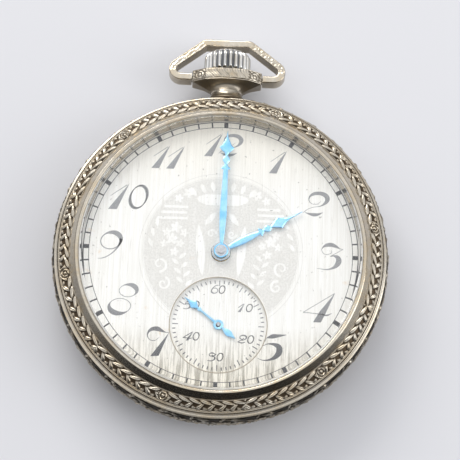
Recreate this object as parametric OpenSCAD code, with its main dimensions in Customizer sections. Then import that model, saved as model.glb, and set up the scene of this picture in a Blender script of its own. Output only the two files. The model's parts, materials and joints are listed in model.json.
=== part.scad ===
// Open face pocket watch, 12 size: snap-on case, pendant with bow and crown,
// engraved silvered dial, and a lever movement with its going, winding and setting trains.
// +Z is out of the dial, +Y is twelve o'clock, the origin is at the middle of the back.

/* [Case] */
// Diameter of the movement's main plate
movement_d = 39.8; // [36:0.2:52]
// Gap around the movement in the case
movement_clear = 0.1; // [0.05:0.01:0.2]
// Wall of the case centre at its widest
case_wall = 2.75; // [2.4:0.05:3.6]
// Height of the case centre between its two shoulders
centre_h = 4.5; // [4.2:0.1:6]
// Height of the bezel above the case centre
bezel_h = 2.6; // [2.4:0.1:3.2]
// Height of the back below the case centre
back_h = 2.8; // [2.8:0.1:3.6]
// Diameter of the flat middle of the back
back_flat_d = 30; // [20:1:34]
// Thickness of the sheet of the back
back_t = 0.6; // [0.4:0.05:0.8]
// Opening of the bezel over the dial
bezel_opening_d = 37; // [34:0.1:37.6]

/* [Crystal] */
// Thickness of the glass
crystal_t = 0.9; // [0.6:0.1:1.2]
// Rise of the glass in the middle
crystal_rise = 0.45; // [0.2:0.05:0.8]

/* [Pendant and crown] */
// Diameter of the pendant's neck
neck_d = 4.3; // [4:0.1:5]
// Width of the pendant's head across the bow pivots
head_w = 9.7; // [9:0.1:11]
// Distance from the case to the bow pivots
pendant_l = 3.1; // [3:0.1:5]
// Diameter of the crown
crown_d = 6.5; // [5.6:0.1:6.8]
// Length of the crown
crown_l = 2.9; // [2:0.1:3]
// Number of flutes on the crown
crown_flutes = 24; // [18:1:32]
// Travel of the crown from winding to setting
pull = 0.8; // [0.5:0.05:0.9]
// Width of the bow across its corners
bow_w = 16.3; // [15:0.1:20]
// Width of the bow's flat top
bow_top_w = 6.8; // [5:0.1:9]
// Reach of the bow from its pivots
bow_reach = 6; // [5.9:0.1:8]
// Width of the bow's bar
bow_bar = 1.0; // [0.8:0.05:1.2]
// Thickness of the bow's bar
bow_t = 1.9; // [1.4:0.1:2.2]
// Slope of the bow below the pendant's axis at rest
bow_droop = 7; // [0:1:20]

/* [Dial and hands] */
// Thickness of the dial
dial_t = 0.4; // [0.3:0.05:0.5]
// Diameter of the sunk seconds ring
seconds_d = 12.8; // [12:0.1:14]
// Length of the hour hand
hour_hand_l = 12.3; // [9:0.1:13]
// Length of the minute hand
minute_hand_l = 16.9; // [14:0.1:17.5]
// Length of the seconds hand
seconds_hand_l = 5.8; // [4.5:0.1:6]
// Hour hand, degrees past twelve
hour_angle = 61; // [0:1:359]
// Minute hand, degrees past twelve
minute_angle = 1.2; // [0:0.1:359.9]
// Seconds hand, degrees past twelve
second_angle = 308; // [0:1:359]

/* [Movement] */
// Thickness of the main plate
plate_t = 1.7; // [1.6:0.05:2]
// Height of the wheel space between the main plate and the bridges
pillar_h = 2.4; // [2.4:0.05:3.2]
// Thickness of the bridges
bridge_t = 1.3; // [1.2:0.05:1.6]
// Space between the back and the bridges
back_gap = 0.9; // [0.9:0.05:1.4]
// Space between the main plate and the dial
dial_gap = 0.22; // [0.2:0.01:0.4]
// Running clearance of arbors in their holes
run = 0.03; // [0.02:0.005:0.06]

/* [Hidden] */
$fn = 64;

// Heights of the layers, from the back to the dial
z_back = back_h;                       // shoulder between the back and the case centre
z_front = back_h + centre_h;           // shoulder between the case centre and the bezel
z_top = z_front + bezel_h;             // top of the bezel
z_bridge = back_t + back_gap;          // outside of the bridges
z_space = z_bridge + bridge_t;         // floor of the wheel space
z_plate = z_space + pillar_h;          // inside of the main plate
z_under_dial = z_plate + plate_t;      // dial side of the main plate
z_dial = z_under_dial + dial_gap;      // underside of the dial
z_face = z_dial + dial_t;              // face of the dial
z_stem = z_plate - 0.6;                // axis of the stem and the pendant

// Radii of the case
plate_r = movement_d / 2;
bore_r = plate_r + movement_clear;     // inside of the case centre
case_r = bore_r + case_wall;           // widest radius of the case
shoulder_r = case_r - 0.7;             // radius at the two shoulders
neck_r = shoulder_r - 0.65;            // snap necks that the bezel and the back grip
snap_clear = 0.04;
neck_h = 0.75;                         // height of the snap necks
ledge_r = bore_r - 0.6;                // ledge that the movement rests on
ledge_t = 0.8;
opening_r = bezel_opening_d / 2;
crystal_r = opening_r + 0.6;
crystal_z = z_face + 1.45;             // underside of the glass at its edge
sunk_r = seconds_d / 2;

// Places of the arbors, seen from the dial side, from the meshing distances
function polar(r, a) = [r * cos(a), r * sin(a)];
function reach(teeth_a, teeth_b, mod) = (teeth_a + teeth_b) * mod / 2;
function toward(a, b) = atan2(b[1] - a[1], b[0] - a[0]);
centre_teeth = 80;
centre_mod = 0.155;
third_teeth = 75;
third_mod = 0.14;
fourth_teeth = 80;
fourth_mod = 0.115;
leaves = 10;                           // leaves of the centre, third and fourth pinions
escape_leaves = 8;
escape_teeth = 15;
escape_r = 2.6;
barrel_teeth = 80;
barrel_mod = 0.19;
centre_p = [0, 0];
seconds_y = 9.9;                       // seconds arbor below the centre
fourth_p = [0, -seconds_y];
third_reach = reach(centre_teeth, leaves, centre_mod);
fourth_reach = reach(third_teeth, leaves, third_mod);
third_y = (seconds_y * seconds_y + third_reach * third_reach - fourth_reach * fourth_reach)
    / (2 * seconds_y);
third_p = [sqrt(third_reach * third_reach - third_y * third_y), -third_y];
escape_p = fourth_p + polar(reach(fourth_teeth, escape_leaves, fourth_mod), 162.6);
pallet_p = escape_p + polar(escape_r / cos(30), 162);
fork_l = 3.3;                          // pallet arbor to balance staff
balance_p = pallet_p + polar(fork_l, 162.5);
barrel_p = polar(reach(barrel_teeth, leaves, barrel_mod), 145);
balance_r = 5.0;                       // outside of the balance rim
balance_clear = 5.75;                  // room for the balance in the bridges

// Winding work: ratchet and crown wheel lie in one plane, the pinion stands on the stem
wind_mod = 0.24;
ratchet_teeth = 51;
crown_teeth = 31;
winding_teeth = 16;
wind_reach = reach(ratchet_teeth, crown_teeth, wind_mod);
crown_wheel_p = [0, barrel_p[1] + sqrt(wind_reach * wind_reach - barrel_p[0] * barrel_p[0])];
pinion_y = crown_wheel_p[1] + 3.45;    // middle of the winding pinion
pinion_w = 1.2;
stem_r = 0.6;
square_w = 0.78;                       // square that the clutch slides on
stem_big_r = 0.8;                      // stem inside the sleeve
socket_l = 3.6;                        // square socket in the end of the stem
clutch_w = 1.0;
clutch_r = 1.55;
clutch_y = pinion_y - pinion_w / 2 - 0.12 - clutch_w;
post_r = 0.9;                          // post of the plate that carries the crown wheel
arbor_end_y = crown_wheel_p[1] + post_r - 0.55;

// Motion and setting work
cannon_teeth = 12;
minute_teeth = 36;
minute_leaves = 10;
hour_teeth = 40;
motion_mod = 0.14;
motion_reach = reach(cannon_teeth, minute_teeth, motion_mod);
hour_mod = 2 * motion_reach / (minute_leaves + hour_teeth);
minute_p = polar(motion_reach, 70);
setting_teeth = 30;
setting_p = [0, clutch_y - pull - 0.1 - setting_teeth * motion_mod / 2 + 0.45];
idler_teeth = round(2 * norm(setting_p - minute_p) / (2 * motion_mod)
    - (setting_teeth + minute_teeth) / 2 + 1);
idler_side = reach(minute_teeth, idler_teeth, motion_mod);
idler_far = reach(setting_teeth, idler_teeth, motion_mod);
span = norm(setting_p - minute_p);
idler_along = (span * span + idler_side * idler_side - idler_far * idler_far) / (2 * span);
idler_off = sqrt(max(0, idler_side * idler_side - idler_along * idler_along));
span_a = toward(minute_p, setting_p);
idler_p = minute_p + polar(idler_along, span_a) + polar(idler_off, span_a - 90);
minute_phase = gap_to(minute_p, centre_p, minute_teeth);
idler_phase = mesh_phase(minute_p, minute_phase, minute_teeth, idler_p, idler_teeth);
motion_z = z_under_dial - 0.9;         // floor of the recess under the dial
block_y = pinion_y + pinion_w / 2 + 0.05;   // bearing block of the stem on the main plate
block_l = 1.1;
z_face_teeth = z_bridge + 0.55;         // foot of the crown wheel's face teeth
face_tooth_h = z_stem - winding_teeth * wind_mod / 2 + 0.05 - z_face_teeth;
lever_p = [5.2, clutch_y - 0.6];       // pivot of the clutch lever
z_lever = z_stem - 0.15;
click_side = 118;                      // where the click stands around the ratchet wheel
click_p = barrel_p + polar(ratchet_teeth * wind_mod / 2 + 2.1, click_side);
click_step = 360 / ratchet_teeth;
click_nose = barrel_p + polar(ratchet_teeth * wind_mod / 2 + 0.28,
    toward(barrel_p, crown_wheel_p) + (round((click_side - 22
        - toward(barrel_p, crown_wheel_p)) / click_step - 0.5) + 0.5) * click_step);

// Layers of the hands and the wheels
z_hour_hand = z_face + 0.3;
z_minute_hand = z_face + 0.72;
z_seconds_hand = z_dial + 0.25;
z_barrel = z_plate - 1.6;
barrel_h = 1.4;
z_fourth = z_space + 0.95;
z_escape = z_plate - 0.92;
z_hair = z_bridge + 0.85;
z_pallet_bridge = z_space + 0.8;
hour_pipe_r = 1.05;
cannon_r = 0.78;
centre_post_r = 0.45;
seconds_r = 0.2;
pivot_r = 0.1;
jewel_r = 0.45;
cap_r = 0.55;
impulse_r = 0.75;                      // impulse pin from the balance staff
stone_reach = 1.62;                    // pallet stones from the pallet arbor
dial_r = plate_r - 0.4;

// Bridges and their pillars
bridge_r = ledge_r - 0.35;
bridge_split = -1.5;                   // line between the barrel bridge and the train bridge
barrel_pillars = [[-16.4, 6.6], [9.5, 14], [16.6, 2]];
train_pillars = [[15.6, -6.5], [7, -15.2], [-3.6, -16.6]];
pillar_r = 1.2;
screw_r = 0.45;
cock_p = [-8.6, -14.6];                // foot of the balance cock
cock_r = 1.6;
pallet_foot = pallet_p + polar(2.6, 80);

// Case screws, bridge screws and dial feet
case_screw_a = [20, 200];
case_screw_r = ledge_r - 0.75;
foot_a = [75, 195, 315];
foot_r = plate_r - 1.7;
foot_rod_r = 0.35;

// Pendant and bow
pivot_y = case_r + pendant_l;
pin_r = 0.45;
pin_clear = 0.05;
sleeve_r = 1.5;
head_half = 0.85;                      // half length of the pendant's head
crown_y = pivot_y + head_half + 0.1;
eye_gap = 0.1;
leaf_steel = "SteelBlue";
white_gold = [0.78, 0.76, 0.70];
nickel = [0.80, 0.80, 0.78];
gilt = [0.85, 0.70, 0.40];
steel = [0.55, 0.56, 0.60];
ruby = [0.75, 0.10, 0.30];

// Points of a gear with one tooth on +X
function gear_points(teeth, mod) = [
    for (i = [0 : teeth - 1])
        for (k = [[-0.31, -1.15], [-0.12, 0.95], [0.12, 0.95], [0.31, -1.15]])
            polar(teeth * mod / 2 + k[1] * mod, (i + k[0]) * 360 / teeth)
];
// Points of a saw-toothed wheel, for the ratchet and the escape wheel
function saw_points(teeth, r_out, r_in) = [
    for (i = [0 : teeth - 1])
        for (k = [[0, r_out], [0.12, r_out], [0.28, r_in], [0.96, r_in]])
            polar(k[1], (i + k[0]) * 360 / teeth)
];
// Gear phases that put a tooth toward a mate, or a gap
function tooth_to(a, b) = toward(a, b);
// Phase of a gear at pb that meshes with one at pa
function mesh_phase(pa, phase_a, na, pb, nb) =
    toward(pa, pb) + 180 + (toward(pa, pb) - phase_a) * na / nb + 180 / nb;
function gap_to(a, b, teeth) = toward(a, b) + 180 / teeth;
// Mirrored outline of a hand from [half width, distance] pairs
function blade(half) = concat([for (p = half) [p[0], p[1]]],
    [for (i = [len(half) - 1 : -1 : 0]) [-half[i][0], half[i][1]]]);

module at(p, z) { translate([p[0], p[1], z]) children(); }

module disc(r, h, hole = 0) {
    linear_extrude(h) difference() {
        circle(r);
        if (hole > 0) circle(hole);
    }
}

module pinion(teeth, mod, h, phase) {
    rotate([0, 0, phase]) linear_extrude(h) polygon(gear_points(teeth, mod));
}

// A crossed-out brass wheel: toothed rim, arms and a hub with a hole
module wheel(teeth, mod, h, arms, rim, hub_r, hole, phase) {
    inner = teeth * mod / 2 - rim;
    linear_extrude(h) difference() {
        union() {
            difference() {
                rotate(phase) polygon(gear_points(teeth, mod));
                circle(inner);
            }
            intersection() {
                circle(inner + 0.1);
                for (a = [0 : 360 / arms : 359])
                    rotate(a) translate([0, -hub_r * 0.2]) square([inner + 0.1, hub_r * 0.4]);
            }
            circle(hub_r);
        }
        circle(hole);
    }
}

// A stepped arbor from a list of [radius, from, to] lengths
module arbor(steps) {
    for (s = steps) translate([0, 0, s[1]]) cylinder(r = s[0], h = s[2] - s[1]);
}

// Case

module case_centre() {
    mid = z_back + centre_h / 2;
    bulge = [for (i = [0 : 12]) let (t = i / 6 - 1)
        [shoulder_r + (case_r - shoulder_r) * sqrt(max(0, 1 - pow(abs(t), 3))),
            mid + t * (centre_h / 2 - 0.15)]];
    ledge_z = z_plate - ledge_t + 0.2;
    color(white_gold) difference() {
        rotate_extrude($fn = 180) polygon(concat(
            [[bore_r, z_back - neck_h], [neck_r, z_back - neck_h], [neck_r, z_back],
                [shoulder_r, z_back]],
            bulge,
            [[shoulder_r, z_front], [neck_r, z_front], [neck_r, z_front + neck_h],
                [bore_r, z_front + neck_h], [bore_r, ledge_z + ledge_t],
                [ledge_r, ledge_z + ledge_t], [ledge_r, ledge_z], [bore_r, ledge_z]]));
        translate([0, 0, z_stem]) rotate([-90, 0, 0]) cylinder(r = sleeve_r, h = case_r + 2);
    }
}

module bezel() {
    groove_z = crystal_z + 0.35;
    color(white_gold) rotate_extrude($fn = 180) polygon([
        [shoulder_r - 0.05, z_front + 0.02], [shoulder_r, z_front + 0.25],
        [shoulder_r, z_front + 0.75], [shoulder_r - 0.25, z_front + 1.05],
        [shoulder_r - 0.42, z_front + 1.1], [shoulder_r - 0.55, z_front + 1.55],
        [shoulder_r - 1.1, z_top - 0.45], [shoulder_r - 1.8, z_top - 0.2],
        [shoulder_r - 1.98, z_top - 0.35], [shoulder_r - 2.1, z_top - 0.2],
        [shoulder_r - 2.4, z_top], [crystal_r - 0.1, z_top - 0.1],
        [crystal_r - 0.25, z_top - 0.3], [crystal_r - 0.25, groove_z + 0.06],
        [crystal_r + 0.02, groove_z], [crystal_r + 0.02, crystal_z - 0.02],
        [crystal_r - 0.3, crystal_z - 0.02], [opening_r, z_face + 0.45],
        [opening_r, z_face + 0.25], [bore_r - 0.5, z_face + 0.25],
        [bore_r - 0.2, z_front + neck_h + 0.05], [neck_r + snap_clear, z_front + neck_h + 0.05],
        [neck_r + snap_clear, z_front + 0.02]]);
}

module crystal() {
    dome = crystal_r - 0.9;
    top_z = crystal_z + crystal_t;
    color([0.8, 0.9, 0.95, 0.3]) rotate_extrude($fn = 180) polygon(concat(
        [[0, crystal_z + crystal_rise], [dome * 0.5, crystal_z + crystal_rise * 0.75],
            [dome, crystal_z], [crystal_r, crystal_z], [crystal_r, crystal_z + 0.3],
            [crystal_r - 0.3, crystal_z + 0.38], [crystal_r - 0.32, crystal_z + 0.55]],
        [for (i = [6 : -1 : 0]) let (r = dome * i / 6)
            [r, top_z + crystal_rise * (1 - pow(i / 6, 2))]]));
}

module back_cover() {
    flat_r = back_flat_d / 2;
    rim = z_back - 0.03;
    dish = [for (i = [0 : 6]) let (a = i * 15)
        [flat_r + (shoulder_r - flat_r) * sin(a), (rim - 0.5) * (1 - cos(a))]];
    color(white_gold) rotate_extrude($fn = 180) polygon(concat(
        [[0, 0]], dish,
        [[shoulder_r, rim - 0.2], [shoulder_r - 0.1, rim], [neck_r + snap_clear, rim],
            [neck_r + snap_clear, rim - neck_h], [neck_r - 0.5, rim - neck_h]],
        [for (i = [5 : -1 : 0]) let (a = i * 15)
            [flat_r - 0.3 + (shoulder_r - back_t - 0.9 - flat_r) * sin(a),
                back_t + (rim - 1.6) * (1 - cos(a))]],
        [[0, back_t]]));
}

module head_outline(grow = 0) {
    polygon([for (p = [[1, -0.24], [1, 0.24], [0.62, 0.5], [0.22, 0.58], [-0.22, 0.58], [-0.62, 0.5],
        [-1, 0.24], [-1, -0.24], [-0.62, -0.5], [-0.22, -0.58], [0.22, -0.58], [0.62, -0.5]])
        p * (head_w / 2 + grow)]);
}

module pendant() {
    nr = neck_d / 2;
    base = case_r - 0.45;
    color(white_gold) difference() {
        union() {
            translate([0, 0, z_stem]) rotate([-90, 0, 0]) rotate_extrude() polygon([
                [0, base], [nr + 0.45, base], [nr + 0.35, base + 0.65], [nr, base + 1.2],
                [nr, pivot_y - 1.7], [nr, pivot_y], [0, pivot_y]]);
            translate([0, 0, z_stem]) rotate([-90, 0, 0]) hull() {
                translate([0, 0, pivot_y - 1.7]) cylinder(r = nr, h = 0.1, $fn = 32);
                translate([0, 0, pivot_y - head_half]) linear_extrude(0.1) head_outline();
            }
            translate([0, pivot_y + head_half, z_stem]) rotate([90, 0, 0])
                linear_extrude(2 * head_half - 0.02) head_outline();
        }
        translate([0, 0, z_stem]) rotate([-90, 0, 0]) cylinder(r = sleeve_r, h = pivot_y + 5);
        for (s = [-1, 1]) translate([s * head_w / 2, pivot_y, z_stem]) rotate([0, s * 90, 0])
            translate([0, 0, -2.3]) cylinder(r = pin_r + pin_clear, h = 3);
    }
}

module pendant_sleeve() {
    inside = bore_r + 0.3;
    color(steel) translate([0, 0, z_stem]) rotate([-90, 0, 0]) rotate_extrude() polygon([
        [stem_big_r + run, inside], [sleeve_r, inside], [sleeve_r, pivot_y + 0.2],
        [stem_big_r + run, pivot_y + 0.2]]);
}

module bow_outline() {
    corner = 1.7;
    top_corner = 1.2;
    low = corner - bow_bar / 2;
    difference() {
        bow_hull(corner, top_corner, low, 0);
        bow_hull(corner, top_corner, low, bow_bar);
        square([head_w + 2 * eye_gap, 2.4], center = true);
    }
}

module bow_hull(corner, top_corner, low, inset) {
    hull() for (s = [-1, 1]) {
        translate([s * (bow_w / 2 - corner), low]) circle(corner - inset, $fn = 32);
        translate([s * (bow_top_w / 2 - 0.5), bow_reach - top_corner])
            circle(top_corner - inset, $fn = 32);
    }
}

module bow() {
    color(white_gold) translate([0, pivot_y, z_stem]) rotate([-bow_droop, 0, 0]) {
        translate([0, 0, -bow_t / 2]) linear_extrude(bow_t) bow_outline();
        for (s = [-1, 1]) rotate([0, s * 90, 0])
            translate([0, 0, head_w / 2 - 2]) cylinder(r = pin_r, h = 2 + eye_gap + 0.4);
    }
}

module crown() {
    r = crown_d / 2;
    color(nickel) translate([0, 0, z_stem]) rotate([-90, 0, 0]) translate([0, 0, crown_y])
        difference() {
            intersection() {
                rotate_extrude() polygon([[0, 0], [r - 0.25, 0], [r, 0.25], [r, crown_l - 0.9],
                    [r - 0.2, crown_l - 0.45], [r - 0.7, crown_l - 0.1], [0, crown_l]]);
                linear_extrude(crown_l + 1) difference() {
                    circle(r);
                    for (a = [0 : 360 / crown_flutes : 359]) rotate(a) translate([r + 0.08, 0])
                        circle(0.26, $fn = 16);
                }
            }
            translate([0, 0, -1]) cylinder(r = stem_r, h = 2.6);
        }
}

module pendant_stem() {
    inner = bore_r - 2.2;
    color(steel) translate([0, 0, z_stem]) rotate([-90, 0, 0]) difference() {
        union() {
            translate([0, 0, inner]) cylinder(r = stem_big_r, h = crown_y - 0.1 - inner);
            translate([0, 0, crown_y - 0.2]) cylinder(r = stem_r, h = 1.8);
        }
        translate([0, 0, inner - 1]) linear_extrude(socket_l + 1)
            square(square_w + 2 * run, center = true);
    }
}

// Winding and setting work

module winding_arbor() {
    inner = bore_r - 2.2;
    round_y = pinion_y - pinion_w / 2 - 0.05;
    color(steel) translate([0, 0, z_stem]) rotate([-90, 0, 0]) {
        translate([0, 0, arbor_end_y]) cylinder(r = 0.3, h = crown_wheel_p[1] + 1.05 - arbor_end_y);
        translate([0, 0, crown_wheel_p[1] + 1.05])
            linear_extrude(round_y - crown_wheel_p[1] - 1.05) square(square_w, center = true);
        translate([0, 0, round_y]) cylinder(r = stem_r, h = block_y + block_l - round_y);
        translate([0, 0, block_y + block_l]) linear_extrude(inner + socket_l - 0.2
            - pull - block_y - block_l) square(square_w, center = true);
    }
}

module winding_pinion() {
    color(steel) translate([0, pinion_y - pinion_w / 2, z_stem]) rotate([-90, 0, 0])
        difference() {
            pinion(winding_teeth, wind_mod, pinion_w, 90);
            translate([0, 0, -1]) cylinder(r = stem_r + run, h = pinion_w + 2);
        }
}

module clutch_wheel() {
    color(steel) translate([0, clutch_y, z_stem]) rotate([-90, 0, 0]) difference() {
        rotate_extrude() polygon([[0, 0], [clutch_r, 0], [clutch_r, 0.3], [1.05, 0.3],
            [1.05, 0.65], [clutch_r, 0.65], [clutch_r, clutch_w], [0, clutch_w]]);
        translate([0, 0, -1]) linear_extrude(clutch_w + 2)
            square(square_w + 2 * run, center = true);
        for (a = [0 : 30 : 330]) rotate([0, 0, a + 15]) translate([1.1, -0.13, -0.5])
            cube([1, 0.26, 0.65]);
    }
}

module clutch_lever() {
    tip = [clutch_r - 0.05, clutch_y + 0.475];
    color(steel) difference() {
        union() {
            at(lever_p, z_lever) disc(0.8, 0.3);
            translate([0, 0, z_lever]) linear_extrude(0.3) hull() {
                translate(lever_p) circle(0.45, $fn = 24);
                translate(tip) circle(0.14, $fn = 24);
            }
        }
        at(lever_p, z_lever - 1) cylinder(r = 0.3 + run, h = 3);
    }
}

module crown_wheel() {
    z = z_bridge;
    r = crown_teeth * wind_mod / 2;
    phase = gap_to(crown_wheel_p, barrel_p, crown_teeth);
    color(steel) at(crown_wheel_p, z) {
        difference() {
            pinion(crown_teeth, wind_mod, 0.6, phase);
            translate([0, 0, -1]) cylinder(r = post_r + run, h = 3);
        }
        translate([0, 0, z_face_teeth - z]) for (i = [0 : crown_teeth - 1])
            rotate([0, 0, 90 + (i + 0.5) * 360 / crown_teeth])
                translate([r - 0.72, -0.12, 0]) cube([0.7, 0.24, face_tooth_h]);
    }
}

module crown_wheel_screw() {
    color(steel) at(crown_wheel_p, z_bridge - 0.35) {
        slotted_head(1.9, 0.33);
        cylinder(r = 0.45, h = 1.6);
    }
}

// A screw head with its slot on the outside
module slotted_head(r, h) {
    difference() {
        cylinder(r = r, h = h);
        translate([-r - 1, -0.12, -1]) cube([2 * r + 2, 0.24, 1 + h * 0.45]);
    }
}

module ratchet_wheel() {
    color(steel) at(barrel_p, z_bridge) difference() {
        pinion(ratchet_teeth, wind_mod, 0.6, tooth_to(barrel_p, crown_wheel_p));
        translate([0, 0, -1]) linear_extrude(3) square(1.4, center = true);
    }
}

module ratchet_screw() {
    color(steel) at(barrel_p, z_bridge - 0.32) {
        slotted_head(1.5, 0.3);
        cylinder(r = 0.4, h = 1.3);
    }
}

module click() {
    nose = click_nose;
    color(steel) difference() {
        union() {
            at(click_p, z_bridge) disc(0.8, 0.5);
            translate([0, 0, z_bridge]) linear_extrude(0.5) hull() {
                translate(click_p) circle(0.5, $fn = 24);
                translate(nose) circle(0.1, $fn = 24);
            }
        }
        at(click_p, z_bridge - 1) cylinder(r = 0.35 + run, h = 3);
    }
}

module click_spring() {
    r = 2.2;
    color(steel) at(click_p, z_bridge + 0.05) rotate([0, 0, click_side - 70])
        rotate_extrude(angle = 140) translate([r - 0.15, 0]) square([0.15, 0.4]);
}

module setting_wheel() {
    color(steel) at(setting_p, motion_z + 0.1) difference() {
        pinion(setting_teeth, motion_mod, 0.3,
            mesh_phase(idler_p, idler_phase, idler_teeth, setting_p, setting_teeth));
        translate([0, 0, -1]) cylinder(r = 0.4 + run, h = 3);
    }
}

module idler_wheel() {
    color(steel) at(idler_p, motion_z + 0.1) difference() {
        pinion(idler_teeth, motion_mod, 0.3, idler_phase);
        translate([0, 0, -1]) cylinder(r = 0.4 + run, h = 3);
    }
}

module setting_bridge() {
    color(nickel) difference() {
        translate([0, 0, z_under_dial - 0.3]) linear_extrude(0.3) hull() {
            translate(setting_p) circle(0.9, $fn = 32);
            translate(idler_p) circle(0.9, $fn = 32);
        }
        for (p = [setting_p, idler_p]) at(p, z_plate) cylinder(r = 0.22, h = 5);
    }
}

module minute_wheel() {
    color(gilt) at(minute_p, motion_z + 0.12) difference() {
        union() {
            pinion(minute_teeth, motion_mod, 0.25, minute_phase);
            translate([0, 0, 0.2])
                pinion(minute_leaves, hour_mod, 0.5, tooth_to(minute_p, centre_p));
        }
        translate([0, 0, -1]) cylinder(r = 0.3 + run, h = 3);
    }
}

module hour_wheel() {
    color(gilt) at(centre_p, motion_z + 0.42) difference() {
        union() {
            pinion(hour_teeth, hour_mod, 0.25, gap_to(centre_p, minute_p, hour_teeth));
            cylinder(r = hour_pipe_r, h = z_hour_hand + 0.2 - motion_z - 0.42);
        }
        translate([0, 0, -1]) cylinder(r = cannon_r + run, h = 5);
    }
}

module cannon_pinion() {
    color(steel) at(centre_p, motion_z + 0.05) difference() {
        union() {
            pinion(cannon_teeth, motion_mod, 0.35, tooth_to(centre_p, minute_p));
            cylinder(r = cannon_r, h = z_minute_hand + 0.2 - motion_z - 0.05);
        }
        translate([0, 0, -1]) cylinder(r = centre_post_r, h = 5);
    }
}

// Dial and hands

module dial() {
    color([0.85, 0.84, 0.80]) difference() {
        translate([0, 0, z_dial]) cylinder(r = dial_r, h = dial_t, $fn = 180);
        translate([0, 0, z_dial - 1]) cylinder(r = hour_pipe_r + 0.3, h = 3);
        at(fourth_p, z_dial - 1) cylinder(r = sunk_r, h = 3, $fn = 128);
    }
}

module seconds_dial() {
    color([0.85, 0.84, 0.80]) at(fourth_p, z_under_dial + 0.02) difference() {
        cylinder(r = sunk_r + 0.3, h = dial_gap - 0.02, $fn = 128);
        translate([0, 0, -1]) cylinder(r = 0.3, h = 3);
    }
}

module dial_feet() {
    color(gilt) for (a = foot_a) at(polar(foot_r, a), z_dial - 1.3)
        cylinder(r = foot_rod_r, h = 1.3);
}

module dial_screws() {
    color(steel) for (a = foot_a) rotate([0, 0, a])
        translate([foot_r + foot_rod_r + 0.01, 0, z_under_dial - 0.7]) rotate([0, 90, 0])
            cylinder(r = 0.3, h = plate_r - 0.1 - foot_r - foot_rod_r, $fn = 24);
}

module hour_hand() {
    l = hour_hand_l;
    color(leaf_steel) at(centre_p, z_hour_hand) rotate([0, 0, -hour_angle]) difference() {
        linear_extrude(0.16) union() {
            circle(1.25);
            polygon(blade([[0.3, 1], [0.42, l * 0.17], [0.22, l * 0.42], [0.6, l * 0.455],
                [0.25, l * 0.48], [0.45, l * 0.53], [0.25, l * 0.58], [0.8, l * 0.68],
                [0.18, l * 0.82], [0.06, l]]));
        }
        translate([0, 0, -1]) cylinder(r = hour_pipe_r, h = 3);
    }
}

module minute_hand() {
    l = minute_hand_l;
    color(leaf_steel) at(centre_p, z_minute_hand) rotate([0, 0, -minute_angle]) difference() {
        linear_extrude(0.16) union() {
            circle(0.95);
            polygon(blade([[0.3, 0.7], [0.45, l * 0.25], [0.2, l * 0.615], [0.6, l * 0.64],
                [0.22, l * 0.66], [0.45, l * 0.695], [0.22, l * 0.73], [0.92, l * 0.8],
                [0.18, l * 0.9], [0.06, l]]));
        }
        translate([0, 0, -1]) cylinder(r = cannon_r, h = 3);
    }
}

module seconds_hand() {
    l = seconds_hand_l;
    color(leaf_steel) at(fourth_p, z_seconds_hand) rotate([0, 0, -second_angle]) difference() {
        linear_extrude(0.12) union() {
            circle(0.65);
            polygon(blade([[0.14, 0], [0.14, l * 0.5], [0.6, l * 0.66], [0.12, l * 0.84],
                [0.05, l]]));
            polygon(blade([[0.12, -l * 0.5], [0.42, -l * 0.33], [0.14, -l * 0.12], [0.14, 0]]));
        }
        translate([0, 0, -1]) cylinder(r = seconds_r, h = 3);
    }
}

// Plates and bridges

module jewel_holes(points, r) {
    for (p = points) at(p, -1) cylinder(r = r, h = z_top);
}

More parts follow.
